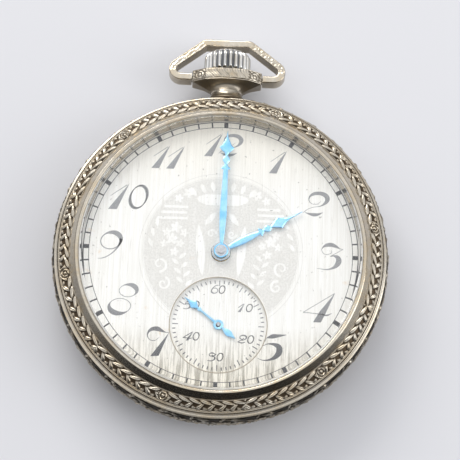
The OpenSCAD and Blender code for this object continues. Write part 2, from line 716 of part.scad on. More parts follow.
module main_plate() {
    upper = plate_t - 0.2;
    color(nickel) difference() {
        union() {
            translate([0, 0, z_plate]) cylinder(r = ledge_r - 0.1, h = 0.3, $fn = 180);
            translate([0, 0, z_plate + 0.2]) cylinder(r = plate_r, h = upper, $fn = 180);
            for (p = concat(barrel_pillars, train_pillars)) at(p, z_space)
                cylinder(r = pillar_r, h = pillar_h + 0.1);
            at(crown_wheel_p, z_bridge + 0.03) cylinder(r = post_r, h = z_plate - z_bridge);
            translate([-1.6, block_y, z_stem - 1.1]) cube([3.2, block_l, 2]);
            at(lever_p, z_lever - 0.15) cylinder(r = 0.3, h = 1);
        }
        jewel_holes([third_p, escape_p, pallet_p, balance_p], jewel_r);
        at(fourth_p, -1) cylinder(r = jewel_r, h = z_top);
        at(centre_p, -1) cylinder(r = centre_post_r + run, h = z_top);
        at(barrel_p, z_plate - 1) cylinder(r = 1 + run, h = plate_t);
        at(barrel_p, z_plate - 0.15) cylinder(r = barrel_teeth * barrel_mod / 2 + 0.4, h = 0.3);
        // recess for the motion work and the setting train
        for (c = [[centre_p, hour_teeth * hour_mod / 2 + 0.4],
            [minute_p, minute_teeth * motion_mod / 2 + 0.35],
            [idler_p, idler_teeth * motion_mod / 2 + 0.35],
            [setting_p, setting_teeth * motion_mod / 2 + 0.35]])
            at(c[0], motion_z) cylinder(r = c[1], h = 2);
        // slot for the winding pinion and the clutch
        translate([-2.35, clutch_y - pull - 0.2, z_plate - 0.1])
            cube([4.7, block_y - 0.02 - clutch_y + pull + 0.2, plate_t + 1]);
        // stem bearings
        translate([0, arbor_end_y - 0.05, z_stem]) rotate([-90, 0, 0])
            cylinder(r = 0.3 + run, h = 2);
        translate([0, block_y - 1, z_stem]) rotate([-90, 0, 0])
            cylinder(r = stem_r + run, h = block_l + 2);
        translate([0, block_y + block_l, z_stem]) rotate([-90, 0, 0])
            cylinder(r = stem_big_r + 0.15, h = plate_r);
        at(crown_wheel_p, z_bridge - 1) cylinder(r = 0.45, h = 2.3);
        for (p = concat(barrel_pillars, train_pillars)) at(p, z_space - 1)
            cylinder(r = screw_r, h = 2.2);
        at(cock_p, z_plate - 1) cylinder(r = screw_r, h = 1.9);
        for (a = foot_a) {
            at(polar(foot_r, a), z_dial - 1.32) cylinder(r = foot_rod_r + run, h = 3);
            rotate([0, 0, a]) translate([foot_r, 0, z_under_dial - 0.7]) rotate([0, 90, 0])
                cylinder(r = 0.3, h = 4, $fn = 24);
        }
        for (a = case_screw_a) at(polar(case_screw_r, a), z_plate - 1)
            cylinder(r = 0.4, h = 2.2);
    }
    // studs that the motion work turns on
    color(steel) for (s = [[minute_p, 0.3], [idler_p, 0.4], [setting_p, 0.4]])
        at(s[0], motion_z - 0.3) cylinder(r = s[1], h = 0.75);
}

// A bridge blank: the part of the movement's circle that an outline keeps
module bridge_blank() {
    translate([0, 0, z_bridge]) linear_extrude(bridge_t) intersection() {
        circle(bridge_r, $fn = 180);
        children();
    }
}

module barrel_bridge() {
    color(nickel) difference() {
        bridge_blank() difference() {
            translate([-bridge_r - 1, bridge_split]) square(2 * bridge_r + 2);
            translate(balance_p) circle(balance_clear);
        }
        at(crown_wheel_p, z_bridge - 1) cylinder(r = crown_teeth * wind_mod / 2 + 0.45, h = 4);
        at(barrel_p, z_bridge - 1) cylinder(r = ratchet_teeth * wind_mod / 2 + 0.45, h = 1.65);
        at(barrel_p, z_bridge - 1) cylinder(r = 1 + run, h = 4);
        translate([-2.35, crown_wheel_p[1], z_bridge + 0.6])
            cube([4.7, block_y - crown_wheel_p[1] + 0.1, 2]);
        at(click_p, z_bridge - 1) cylinder(r = norm(click_nose - click_p) + 0.35, h = 1.55);
        jewel_holes([centre_p], jewel_r + 0.3);
        screw_holes(barrel_pillars);
    }
    color(steel) at(click_p, z_bridge + 0.5) translate([0, 0, -0.5]) cylinder(r = 0.35, h = 0.7);
}

module screw_holes(points) {
    for (p = points) {
        at(p, z_bridge - 1) cylinder(r = screw_r, h = 4);
        at(p, z_bridge - 1) cylinder(r = 1.05, h = 1.4);
    }
}

module train_bridge() {
    color(nickel) difference() {
        bridge_blank() difference() {
            translate([-bridge_r - 1, bridge_split - 0.2 - 2 * bridge_r - 2])
                square(2 * bridge_r + 2);
            translate(balance_p) circle(balance_clear);
            translate(cock_p) circle(cock_r + 0.25);
            hull() {
                translate(cock_p) circle(cock_r + 0.25, $fn = 32);
                translate(cock_p + polar(6, toward(centre_p, cock_p))) circle(3, $fn = 32);
            }
            hull() {
                translate(cock_p) circle(cock_r + 0.25, $fn = 32);
                translate(balance_p) circle(1.65, $fn = 32);
            }
        }
        jewel_holes([third_p, fourth_p, escape_p], jewel_r);
        screw_holes(train_pillars);
    }
}

module pallet_bridge() {
    color(nickel) at([0, 0], z_pallet_bridge) difference() {
        union() {
            linear_extrude(0.35) hull() {
                translate(pallet_p) circle(0.8, $fn = 32);
                translate(pallet_foot) circle(0.9, $fn = 32);
            }
            at(pallet_foot, 0) cylinder(r = 0.75, h = z_plate - z_pallet_bridge);
        }
        at(pallet_p, -1) cylinder(r = jewel_r, h = 3);
        at(pallet_foot, -1) cylinder(r = 0.3, h = 2.2);
    }
}

module balance_cock() {
    arm_t = 0.8;
    color(nickel) difference() {
        union() {
            translate([0, 0, z_bridge]) linear_extrude(arm_t) hull() {
                translate(cock_p) circle(cock_r, $fn = 32);
                translate(balance_p) circle(1.4, $fn = 32);
            }
            at(cock_p, z_bridge) cylinder(r = cock_r - 0.2, h = z_plate - z_bridge);
        }
        at(balance_p, z_bridge - 1) cylinder(r = jewel_r, h = 3);
        screw_holes([cock_p]);
        at(cock_p, z_bridge - 1) cylinder(r = screw_r, h = z_plate);
    }
}

module regulator() {
    a = toward(balance_p, cock_p);
    color(steel) at(balance_p, z_bridge - 0.2) difference() {
        linear_extrude(0.18) union() {
            circle(1.25);
            rotate(a + 65) polygon([[0, -0.35], [4.2, -0.08], [4.2, 0.08], [0, 0.35]]);
            rotate(a - 120) translate([0, -0.3]) square([2.9, 0.6]);
        }
        translate([0, 0, -1]) cylinder(r = cap_r + 0.02, h = 3);
    }
}

module bridge_screws() {
    color(leaf_steel) {
        for (p = concat(barrel_pillars, train_pillars)) at(p, z_bridge) {
            slotted_head(0.95, 0.38);
            cylinder(r = screw_r - 0.02, h = bridge_t + 1);
        }
        at(cock_p, z_bridge) {
            slotted_head(0.95, 0.38);
            cylinder(r = screw_r - 0.02, h = z_plate + 0.8 - z_bridge);
        }
    }
}

module case_screws() {
    color(leaf_steel) for (a = case_screw_a) at(polar(case_screw_r, a), z_plate - ledge_t - 0.22) {
        slotted_head(1.35, 0.4);
        cylinder(r = 0.38, h = ledge_t + 1.1);
    }
}

// Pierced jewels that the train's pivots turn in
module train_jewels() {
    color(ruby) {
        for (p = [third_p, fourth_p, escape_p]) at(p, z_bridge + 0.25)
            disc(jewel_r, bridge_t - 0.3, pivot_r + run);
        for (p = [third_p, escape_p, pallet_p, balance_p]) at(p, z_plate + 0.05)
            disc(jewel_r, 0.7, pivot_r + run);
        at(fourth_p, z_plate + 0.05) disc(jewel_r, 0.7, seconds_r + run);
        at(pallet_p, z_pallet_bridge + 0.05) disc(jewel_r, 0.25, pivot_r + run);
        at(centre_p, z_bridge + 0.25) disc(jewel_r + 0.3, bridge_t - 0.3, 0.4 + run);
        at(balance_p, z_bridge + 0.1) disc(jewel_r, 0.6, pivot_r + run);
    }
}

module cap_jewel() {
    color(ruby) at(balance_p, z_bridge - 0.2) cylinder(r = cap_r, h = 0.2);
}

// Going train

module barrel() {
    r = barrel_teeth * barrel_mod / 2 - 0.4;
    color(gilt) at(barrel_p, 0) difference() {
        union() {
            translate([0, 0, z_barrel]) cylinder(r = r, h = barrel_h);
            translate([0, 0, z_barrel + barrel_h - 0.4]) pinion(barrel_teeth, barrel_mod, 0.4,
                tooth_to(barrel_p, centre_p));
        }
        translate([0, 0, z_barrel - 1]) cylinder(r = r - 0.3, h = barrel_h + 0.8);
        translate([0, 0, z_barrel - 1]) cylinder(r = 1 + run, h = barrel_h + 2);
    }
}

module barrel_cover() {
    color(gilt) at(barrel_p, z_barrel) disc(barrel_teeth * barrel_mod / 2 - 0.71, 0.2, 1 + run);
}

module barrel_arbor() {
    color(steel) at(barrel_p, 0) difference() {
        union() {
            translate([0, 0, z_bridge + 0.02]) linear_extrude(0.6) square(1.34, center = true);
            arbor([[1, z_bridge + 0.62, z_plate + 0.6], [1.5, z_barrel + 0.22, z_plate - 0.42]]);
        }
        translate([0, 0, z_bridge - 1]) cylinder(r = 0.4, h = 2.2);
    }
}

// Points of a flat spiral band
function spiral_points(r0, r1, turns, width) = let (n = round(turns * 24))
    concat([for (i = [0 : n]) polar(r0 + (r1 - r0) * i / n, i * 15)],
        [for (i = [n : -1 : 0]) polar(r0 + width + (r1 - r0) * i / n, i * 15)]);

module mainspring() {
    color(steel) at(barrel_p, z_barrel + 0.26) linear_extrude(barrel_h - 0.54)
        polygon(spiral_points(1.55, barrel_teeth * barrel_mod / 2 - 1, 9, 0.16));
}

module centre_wheel() {
    color(gilt) at(centre_p, z_space + 0.1)
        wheel(centre_teeth, centre_mod, 0.2, 5, 0.8, 1, 0.7, tooth_to(centre_p, third_p));
}

module centre_arbor() {
    color(steel) {
        arbor([[0.4, z_bridge + 0.3, z_space], [0.7, z_space + 0.05, z_plate - 0.05],
            [0.5, z_space - 0.05, z_space + 0.1],
            [centre_post_r, z_plate - 0.1, z_minute_hand + 0.5]]);
        translate([0, 0, z_plate - 0.75]) pinion(leaves, barrel_mod, 0.7,
            gap_to(centre_p, barrel_p, leaves));
    }
}

module third_wheel() {
    color(gilt) at(third_p, z_plate - 0.5)
        wheel(third_teeth, third_mod, 0.18, 5, 0.65, 0.8, 0.3, tooth_to(third_p, fourth_p));
}

module third_pinion() {
    color(steel) at(third_p, 0) {
        arbor([[pivot_r, z_bridge + 0.4, z_space + 0.1], [0.3, z_space + 0.02, z_plate - 0.02],
            [pivot_r, z_plate - 0.1, z_plate + 0.6]]);
        translate([0, 0, z_space + 0.05]) pinion(leaves, centre_mod, 0.6,
            gap_to(third_p, centre_p, leaves));
    }
}

module fourth_wheel() {
    color(gilt) at(fourth_p, z_fourth)
        wheel(fourth_teeth, fourth_mod, 0.16, 5, 0.6, 0.7, 0.3, tooth_to(fourth_p, escape_p));
}

module fourth_pinion() {
    color(steel) at(fourth_p, 0) {
        arbor([[pivot_r, z_bridge + 0.4, z_space + 0.1], [0.3, z_space + 0.02, z_plate - 0.02],
            [seconds_r, z_plate - 0.1, z_seconds_hand + 0.25]]);
        translate([0, 0, z_plate - 0.75]) pinion(leaves, third_mod, 0.6,
            gap_to(fourth_p, third_p, leaves));
    }
}

module escape_wheel() {
    color(steel) at(escape_p, z_escape) linear_extrude(0.15) difference() {
        union() {
            difference() {
                rotate(toward(escape_p, pallet_p) + 6) polygon(
                    saw_points(escape_teeth, escape_r, escape_r - 0.5));
                circle(escape_r - 0.8);
            }
            for (a = [0, 90, 180, 270]) rotate(a) translate([0, -0.12])
                square([escape_r - 0.7, 0.24]);
            circle(0.5);
        }
        circle(0.25);
    }
}

module escape_pinion() {
    color(steel) at(escape_p, 0) {
        arbor([[pivot_r, z_bridge + 0.4, z_space + 0.1], [0.25, z_space + 0.02, z_plate - 0.02],
            [pivot_r, z_plate - 0.1, z_plate + 0.6]]);
        translate([0, 0, z_fourth - 0.12]) pinion(escape_leaves, fourth_mod, 0.4,
            gap_to(escape_p, fourth_p, escape_leaves));
    }
}

// Escapement and balance

module pallet_fork() {
    to_balance = toward(pallet_p, balance_p);
    to_escape = toward(pallet_p, escape_p);
    horn = fork_l - impulse_r;
    color(steel) {
        at(pallet_p, z_escape) linear_extrude(0.15) difference() {
            union() {
                circle(0.5);
                for (s = [-1, 1]) rotate(to_escape + s * 62) translate([0, -0.2])
                    square([stone_reach - 0.2, 0.4]);
                rotate(to_balance) {
                    translate([0, -0.15]) square([horn - 0.3, 0.3]);
                    translate([horn - 0.5, -0.4]) square([0.6, 0.8]);
                }
            }
            rotate(to_balance) translate([horn - 0.22, -0.16]) square([1, 0.32]);
            for (s = [-1, 1]) rotate(to_escape + s * 62) translate([stone_reach - 0.35, -0.13])
                square([1, 0.26]);
        }
        at(pallet_p, 0) arbor([[pivot_r, z_pallet_bridge + 0.08, z_escape],
            [0.2, z_pallet_bridge + 0.37, z_plate - 0.02], [pivot_r, z_plate - 0.1, z_plate + 0.6]]);
    }
}

module pallet_stones() {
    to_escape = toward(pallet_p, escape_p);
    color(ruby) for (s = [-1, 1]) at(pallet_p, z_escape - 0.03) rotate([0, 0, to_escape + s * 62])
        translate([stone_reach - 0.35, -0.12, 0]) cube([0.42, 0.24, 0.21]);
}

module balance_wheel() {
    a = toward(balance_p, pallet_p);
    color(gilt) at(balance_p, z_space + 0.12) {
        linear_extrude(0.5) difference() {
            circle(balance_r);
            circle(balance_r - 0.4);
            for (s = [0, 180]) rotate(a + s + 14) translate([0, -0.1]) square([6, 0.2]);
        }
        linear_extrude(0.22) difference() {
            union() {
                rotate(a) translate([-balance_r + 0.2, -0.35]) square([2 * balance_r - 0.4, 0.7]);
                circle(0.75);
            }
            circle(0.35);
        }
    }
}

module balance_screws() {
    a = toward(balance_p, pallet_p);
    color(gilt) at(balance_p, z_space + 0.37) for (s = [0, 180], k = [0 : 6])
        rotate([0, 0, a + s + 28 + k * 22]) translate([balance_r, 0, 0]) rotate([0, 90, 0])
            cylinder(r = 0.22, h = 0.45, $fn = 16);
}

module balance_staff() {
    a = toward(balance_p, pallet_p);
    color(steel) at(balance_p, 0) {
        arbor([[pivot_r, z_bridge + 0.02, z_hair + 0.1], [0.35, z_hair, z_escape - 0.1],
            [0.2, z_escape - 0.2, z_plate - 0.02], [pivot_r, z_plate - 0.1, z_plate + 0.6],
            [impulse_r + 0.25, z_escape - 0.25, z_escape - 0.1],
            [0.6, z_hair + 0.02, z_hair + 0.28]]);
    }
    color(ruby) at(balance_p + polar(impulse_r, a), z_escape - 0.15)
        cylinder(r = 0.12, h = 0.4, $fn = 24);
}

module hairspring() {
    color(leaf_steel) at(balance_p, z_hair + 0.04) linear_extrude(0.2)
        polygon(spiral_points(0.62, 3.1, 10, 0.07));
}

case_centre();
bezel();
crystal();
back_cover();
pendant();
pendant_sleeve();
bow();
crown();
pendant_stem();
winding_arbor();
winding_pinion();
clutch_wheel();
clutch_lever();
crown_wheel();
crown_wheel_screw();
ratchet_wheel();
ratchet_screw();
click();
click_spring();
setting_wheel();
idler_wheel();
setting_bridge();
minute_wheel();
hour_wheel();
cannon_pinion();
dial();
seconds_dial();
dial_feet();
dial_screws();
hour_hand();
minute_hand();
seconds_hand();
main_plate();
barrel_bridge();
train_bridge();
pallet_bridge();
balance_cock();
regulator();
bridge_screws();
case_screws();
train_jewels();
cap_jewel();
barrel();
barrel_cover();
barrel_arbor();
mainspring();
centre_wheel();
centre_arbor();
third_wheel();
third_pinion();
fourth_wheel();
fourth_pinion();
escape_wheel();
escape_pinion();
pallet_fork();
pallet_stones();
balance_wheel();
balance_screws();
balance_staff();
hairspring();
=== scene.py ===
import json
import math

import bpy
import numpy as np
from mathutils import Matrix, Vector


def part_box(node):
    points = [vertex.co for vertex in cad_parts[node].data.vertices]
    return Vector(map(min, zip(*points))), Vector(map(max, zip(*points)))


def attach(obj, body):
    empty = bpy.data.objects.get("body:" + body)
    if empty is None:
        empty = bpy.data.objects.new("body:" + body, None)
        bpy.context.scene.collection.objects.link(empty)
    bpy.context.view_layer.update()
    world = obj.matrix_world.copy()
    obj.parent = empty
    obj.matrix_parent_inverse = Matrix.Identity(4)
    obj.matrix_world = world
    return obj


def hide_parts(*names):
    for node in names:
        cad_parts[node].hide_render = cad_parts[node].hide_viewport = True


MM = 0.001
TAU = 2 * math.pi

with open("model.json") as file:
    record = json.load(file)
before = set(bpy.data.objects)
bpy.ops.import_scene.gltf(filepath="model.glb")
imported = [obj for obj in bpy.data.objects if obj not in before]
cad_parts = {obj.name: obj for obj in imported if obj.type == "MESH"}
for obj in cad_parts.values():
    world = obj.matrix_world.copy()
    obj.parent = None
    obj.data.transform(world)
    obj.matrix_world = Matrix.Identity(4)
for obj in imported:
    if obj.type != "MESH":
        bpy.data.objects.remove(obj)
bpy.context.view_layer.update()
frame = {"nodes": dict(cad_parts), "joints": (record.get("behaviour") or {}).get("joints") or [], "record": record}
record = frame["record"]
nodes = frame["nodes"]


# ---------------------------------------------------------------- sizes from the frame
def span(node, axis):
    """Lowest and highest value of a node along an axis, in millimetres."""
    low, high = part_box(node)
    return low[axis] / MM, high[axis] / MM


CASE_R = span("case_centre", 0)[1]
CASE_WALL = 2.75
SHOULDER_R = span("bezel", 0)[1]
BEZEL_LOW, BEZEL_TOP = span("bezel", 2)
CENTRE_LOW, CENTRE_HIGH = span("case_centre", 2)
BACK_TOP = span("back_cover", 2)[1]
DIAL_R = span("dial", 0)[1]
DIAL_FACE = span("dial", 2)[1]
SUNK_FACE = span("seconds_dial", 2)[1]
SECONDS_Y = sum(span("seconds_dial", 1)) / 2
# the seconds disc is tucked this far under the dial all round
SUNK_LAP = 0.3
SUNK_R = (span("seconds_dial", 0)[1] - span("seconds_dial", 0)[0]) / 2 - SUNK_LAP
CRYSTAL_R = span("crystal", 0)[1]
CRYSTAL_LOW, CRYSTAL_TOP = span("crystal", 2)
CROWN_LOW_Y, CROWN_HIGH_Y = span("crown", 1)
CROWN_R = span("crown", 0)[1]
STEM_Z = sum(span("crown", 2)) / 2
HEAD_HALF_W = span("pendant", 0)[1]
HEAD_END_Y = span("pendant", 1)[1]
PIVOT_Y = next(j["pos_m"][1] for j in frame["joints"] if j["name"] == "bow_swing") / MM
HEAD_HALF_L = HEAD_END_Y - PIVOT_Y
NECK_R = 2.15
PIN_R = 0.45
BOW_DROOP = math.radians(7)
BOW_W = span("bow", 0)[1]
BOW_T = 1.9
BOW_BAR = 1.0
BOW_REACH = (span("bow", 1)[1] - PIVOT_Y - BOW_T / 2 * math.sin(BOW_DROOP)) / math.cos(BOW_DROOP)
BOW_TOP_W = 3.4
HOUR_Z = span("hour_hand", 2)
MINUTE_Z = span("minute_hand", 2)
SECOND_Z = span("seconds_hand", 2)
HOUR_ANGLE = math.radians(61)
MINUTE_ANGLE = math.radians(1.2)
SECOND_ANGLE = math.radians(308)


# ---------------------------------------------------------------- camera and light
def make_camera():
    """The photograph's view: from the six o'clock side, high above the dial."""
    elevation, azimuth, roll = (math.radians(a) for a in (73.82, 3.39, 5.53))
    distance, lens_px, frame_px, sensor = 201.8, 1501.8, 460.0, 36.0
    target = Vector((1.117, 3.210, 7.5)) * MM
    back = Vector((-math.sin(azimuth) * math.cos(elevation),
                   -math.cos(azimuth) * math.cos(elevation), math.sin(elevation)))
    right = (-back).cross(Vector((0, 0, 1))).normalized()
    up = right.cross(-back)
    right_r = math.cos(roll) * right + math.sin(roll) * up
    up_r = -math.sin(roll) * right + math.cos(roll) * up
    turn = Matrix((right_r, up_r, back)).transposed().to_4x4()
    data = bpy.data.cameras.new("camera")
    data.sensor_width = sensor
    data.lens = lens_px / frame_px * sensor
    data.clip_start = 0.001
    camera = bpy.data.objects.new("camera", data)
    camera.matrix_world = Matrix.Translation(target + back * distance * MM) @ turn
    bpy.context.scene.collection.objects.link(camera)
    bpy.context.scene.camera = camera


def area_light(name, place, size, power, colour):
    """A rectangular soft light aimed at the watch."""
    data = bpy.data.lights.new(name, "AREA")
    data.shape = "RECTANGLE"
    data.size, data.size_y = size
    data.energy = power
    data.color = colour
    lamp = bpy.data.objects.new(name, data)
    place = Vector(place)
    lamp.matrix_world = Matrix.Translation(place) @ place.to_track_quat("Z", "Y").to_matrix().to_4x4()
    bpy.context.scene.collection.objects.link(lamp)


def make_studio():
    """A white tent lit from above and behind, with a dark opening on the six o'clock side."""
    area_light("key_light", (-0.20, 0.50, 0.34), (0.50, 0.26), 2.3, (1, 0.99, 0.97))
    area_light("fill_light", (0.42, -0.05, 0.24), (0.22, 0.36), 0.6, (0.97, 0.98, 1))
    world = bpy.data.worlds.new("studio")
    world.use_nodes = True
    tree = world.node_tree
    background = tree.nodes["Background"]
    place = tree.nodes.new("ShaderNodeTexCoord")
    split = tree.nodes.new("ShaderNodeSeparateXYZ")
    tree.links.new(place.outputs["Generated"], split.inputs[0])
    height = ramp(tree, split.outputs["Z"], (0.0, (0.16, 0.16, 0.165)), (0.35, (0.50, 0.505, 0.52)),
                  (0.85, (0.92, 0.93, 0.96)))
    toward = tree.nodes.new("ShaderNodeMapRange")
    toward.inputs["From Min"].default_value = -0.9
    toward.inputs["From Max"].default_value = 0.1
    tree.links.new(split.outputs["Y"], toward.inputs["Value"])
    opening = ramp(tree, toward.outputs[0], (0.1, 0.04), (0.4, 0.3), (0.6, 0.85), (0.75, 1.0))
    tree.links.new(mix(tree, 1.0, height, opening, "MULTIPLY"), background.inputs["Color"])
    background.inputs["Strength"].default_value = 1.22
    bpy.context.scene.world = world
    bpy.context.scene.view_settings.view_transform = "Standard"


def make_floor():
    """A pale sheet of paper, a hair below the watch's back."""
    size, z = 0.9, -0.00003
    mesh = bpy.data.meshes.new("floor")
    mesh.from_pydata([(-size, -size, z), (size, -size, z), (size, size, z), (-size, size, z)],
                     [], [(0, 1, 2, 3)])
    floor = bpy.data.objects.new("floor", mesh)
    bpy.context.scene.collection.objects.link(floor)
    material, _, shader = new_material("floor_paper", 0.0, 0.75)
    shader.inputs["Base Color"].default_value = (0.70, 0.70, 0.72, 1)
    shader.inputs["Specular IOR Level"].default_value = 0.15
    mesh.materials.append(material)


# ---------------------------------------------------------------- material tools
def new_material(name, metallic, roughness):
    material = bpy.data.materials.new(name)
    material.use_nodes = True
    shader = material.node_tree.nodes["Principled BSDF"]
    shader.inputs["Metallic"].default_value = metallic
    shader.inputs["Roughness"].default_value = roughness
    return material, material.node_tree, shader


def coords(tree, scale=(1, 1, 1)):
    """Object coordinates in millimetres, scaled."""
    place = tree.nodes.new("ShaderNodeTexCoord")
    mapping = tree.nodes.new("ShaderNodeMapping")
    mapping.inputs["Scale"].default_value = [s / MM for s in scale]
    tree.links.new(place.outputs["Object"], mapping.inputs[0])
    return mapping.outputs[0]


def noise(tree, vector, scale=1.0, detail=4.0, rough=0.55):
    node = tree.nodes.new("ShaderNodeTexNoise")
    node.inputs["Scale"].default_value = scale
    node.inputs["Detail"].default_value = detail
    node.inputs["Roughness"].default_value = rough
    tree.links.new(vector, node.inputs["Vector"])
    return node.outputs["Fac"]


def ramp(tree, value, *stops):
    """A colour ramp with stops of (position, colour)."""
    node = tree.nodes.new("ShaderNodeValToRGB")
    elements = node.color_ramp.elements
    while len(elements) < len(stops):
        elements.new(0.5)
    for element, (position, colour) in zip(elements, stops):
        element.position = position
        grey = not isinstance(colour, tuple)
        element.color = (colour, colour, colour, 1) if grey else (*colour, 1)
    tree.links.new(value, node.inputs[0])
    return node.outputs[0]


def mix(tree, factor, a, b, mode="MIX"):
    node = tree.nodes.new("ShaderNodeMix")
    node.data_type = "RGBA"
    node.blend_type = mode
    for socket, value in ((node.inputs[0], factor), (node.inputs[6], a), (node.inputs[7], b)):
        if hasattr(value, "links"):
            tree.links.new(value, socket)
        elif isinstance(value, tuple):
            socket.default_value = (*value, 1)
        else:
            socket.default_value = value
    return node.outputs[2]


def bump(tree, shader, height, strength, distance):
    node = tree.nodes.new("ShaderNodeBump")
    node.inputs["Strength"].default_value = strength
    node.inputs["Distance"].default_value = distance * MM
    tree.links.new(height, node.inputs["Height"])
    tree.links.new(node.outputs[0], shader.inputs["Normal"])


def attribute(tree, name):
    node = tree.nodes.new("ShaderNodeAttribute")
    node.attribute_name = name
    return node.outputs["Fac"]


def white_gold(name, land, dark, rough=(0.2, 0.5)):
    """Worn white gold: bright lands, painted shade in the recesses from the 'relief' attribute, warm stains."""
    material, tree, shader = new_material(name, 1.0, 0.3)
    relief = attribute(tree, "relief")
    fine = noise(tree, coords(tree), 2.4, 6, 0.6)
    broad = noise(tree, coords(tree), 0.35, 3)
    stain = ramp(tree, broad, (0.42, 0.0), (0.62, 1.0))
    lands = mix(tree, stain, land, tuple(c * w for c, w in zip(land, (0.93, 0.84, 0.70))))
    worn = mix(tree, ramp(tree, fine, (0.35, 0.0), (0.7, 1.0)), lands,
               tuple(c * 0.82 for c in land))
    # painted shade: low 'relief' values mix the dark colour into the base colour of recesses and grooves
    depth = ramp(tree, relief, (0.12, 0.0), (0.62, 1.0))
    colour = mix(tree, depth, dark, worn)
    tree.links.new(colour, shader.inputs["Base Color"])
    tree.links.new(ramp(tree, relief, (0.1, rough[1]), (0.6, rough[0])), shader.inputs["Roughness"])
    bump(tree, shader, fine, 0.25, 0.02)
    return material


# ---------------------------------------------------------------- mesh tools
def smoothstep(x, low, high):
    t = np.clip((x - low) / (high - low), 0, 1)
    return t * t * (3 - 2 * t)


def add_object(name, verts, faces, material, body, replace=(), smooth=True):
    """A mesh in millimetres becomes a piece that rides on a body."""
    mesh = bpy.data.meshes.new(name)
    mesh.from_pydata((np.asarray(verts) * MM).tolist(), [], faces)
    mesh.polygons.foreach_set("use_smooth", [smooth] * len(mesh.polygons))
    mesh.update()
    piece = bpy.data.objects.new(name, mesh)
    bpy.context.scene.collection.objects.link(piece)
    mesh.materials.append(material)
    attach(piece, body)
    if replace:
        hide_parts(*replace)
    return piece


def grid_faces(rows, columns, close_rows=True, close_columns=True):
    """Quads of a grid of points, joined up at either end if asked."""
    i = np.arange(rows if close_rows else rows - 1)
    j = np.arange(columns if close_columns else columns - 1)
    i, j = (a.ravel() for a in np.meshgrid(i, j, indexing="ij"))
    i2, j2 = (i + 1) % rows, (j + 1) % columns
    return np.stack([i * columns + j, i2 * columns + j, i2 * columns + j2, i * columns + j2],
                    axis=1).tolist()


def store(piece, name, values):
    """A number for each vertex, read by the materials."""
    layer = piece.data.attributes.new(name, "FLOAT", "POINT")
    layer.data.foreach_set("value", np.asarray(values, dtype=np.float32).ravel())


def dense(profile):
    """Profile points from (r, z, steps to the next point); the profile closes on itself."""
    out = []
    for (r, z, steps), (r2, z2, _) in zip(profile, profile[1:] + profile[:1]):
        t = np.arange(steps) / steps
        out.append(np.stack([r + (r2 - r) * t, z + (z2 - z) * t], axis=1))
    return np.concatenate(out)


def lathe(name, profile, count, relief, material, body, replace):
    """A turned ring whose surface is pushed out by relief(angle, r, z) in millimetres."""
    points = dense(profile)
    along = np.roll(points, -1, 0) - np.roll(points, 1, 0)
    normal = np.stack([along[:, 1], -along[:, 0]], axis=1)
    normal /= np.maximum(np.linalg.norm(normal, axis=1, keepdims=True), 1e-9)
    angle = np.arange(count) / count * TAU
    a, r = np.meshgrid(angle, points[:, 0], indexing="ij")
    z = np.broadcast_to(points[:, 1], a.shape)
    height, shade = relief(a, r, z)
    r2 = r + height * normal[:, 0]
    z2 = z + height * normal[:, 1]
    verts = np.stack([r2 * np.cos(a), r2 * np.sin(a), z2], axis=-1).reshape(-1, 3)
    piece = add_object(name, verts, grid_faces(count, len(points)), material, body, replace)
    store(piece, "relief", shade)
    return piece


# ---------------------------------------------------------------- engraving
ROSETTES = 6
ROSETTE_START = math.radians(19.2)
BAND_OUT = SHOULDER_R - 0.52
BAND_IN = SHOULDER_R - 1.85
BAND_MID = (BAND_OUT + BAND_IN) / 2
BAND_FOOT = BEZEL_LOW + 0.86
BEAD_GAP_R = SHOULDER_R - 0.275
LEAF_PITCH = BAND_MID * math.radians(4)
SNAP_LIP = 0.61


def leaf_row(along, middle, half_l, half_w, lean):
    """Height of one row of leaves that stand side by side and lean along the band."""
    best = np.zeros_like(along)
    first = np.floor(along / LEAF_PITCH)
    for step in (-1, 0, 1, 2):
        x = along - (first + step) * LEAF_PITCH
        u = x * math.cos(lean) + middle * math.sin(lean)
        v = -x * math.sin(lean) + middle * math.cos(lean) + 0.16 * half_w * np.sin(u / half_l * 2.5)
        wide = half_w * (1 - 0.45 * u / half_l)
        body = np.sqrt(np.clip(1 - (u / half_l) ** 2 - (v / wide) ** 2, 0, 1))
        best = np.maximum(best, body * (1 - 0.35 * np.exp(-(v / 0.04) ** 2)))
    return best


def leaf_rows(along, across):
    """A long row along the inner edge and a row of short curled leaves outside it; the same value sets the painted
    shade, so the inner row is painted brightest.
    """
    inner = leaf_row(along, across + 0.34, 1.0, 0.24, math.radians(19))
    outer = leaf_row(along + 0.55 * LEAF_PITCH, across - 0.24, 0.62, 0.27, math.radians(-32))
    curl = leaf_row(along + 0.1 * LEAF_PITCH, across - 0.46, 0.34, 0.16, math.radians(25))
    return np.maximum(np.maximum(inner, 0.8 * outer), 0.62 * curl)


def rosette(distance, turn):
    """Height of a flower: a ring of petals round a domed centre."""
    petals = 0.75 + 0.25 * np.cos(4 * turn)
    ring = petals * np.exp(-((distance - 0.44) / 0.13) ** 2)
    return np.maximum(ring, 0.9 * np.sqrt(np.clip(1 - (distance / 0.24) ** 2, 0, 1)))


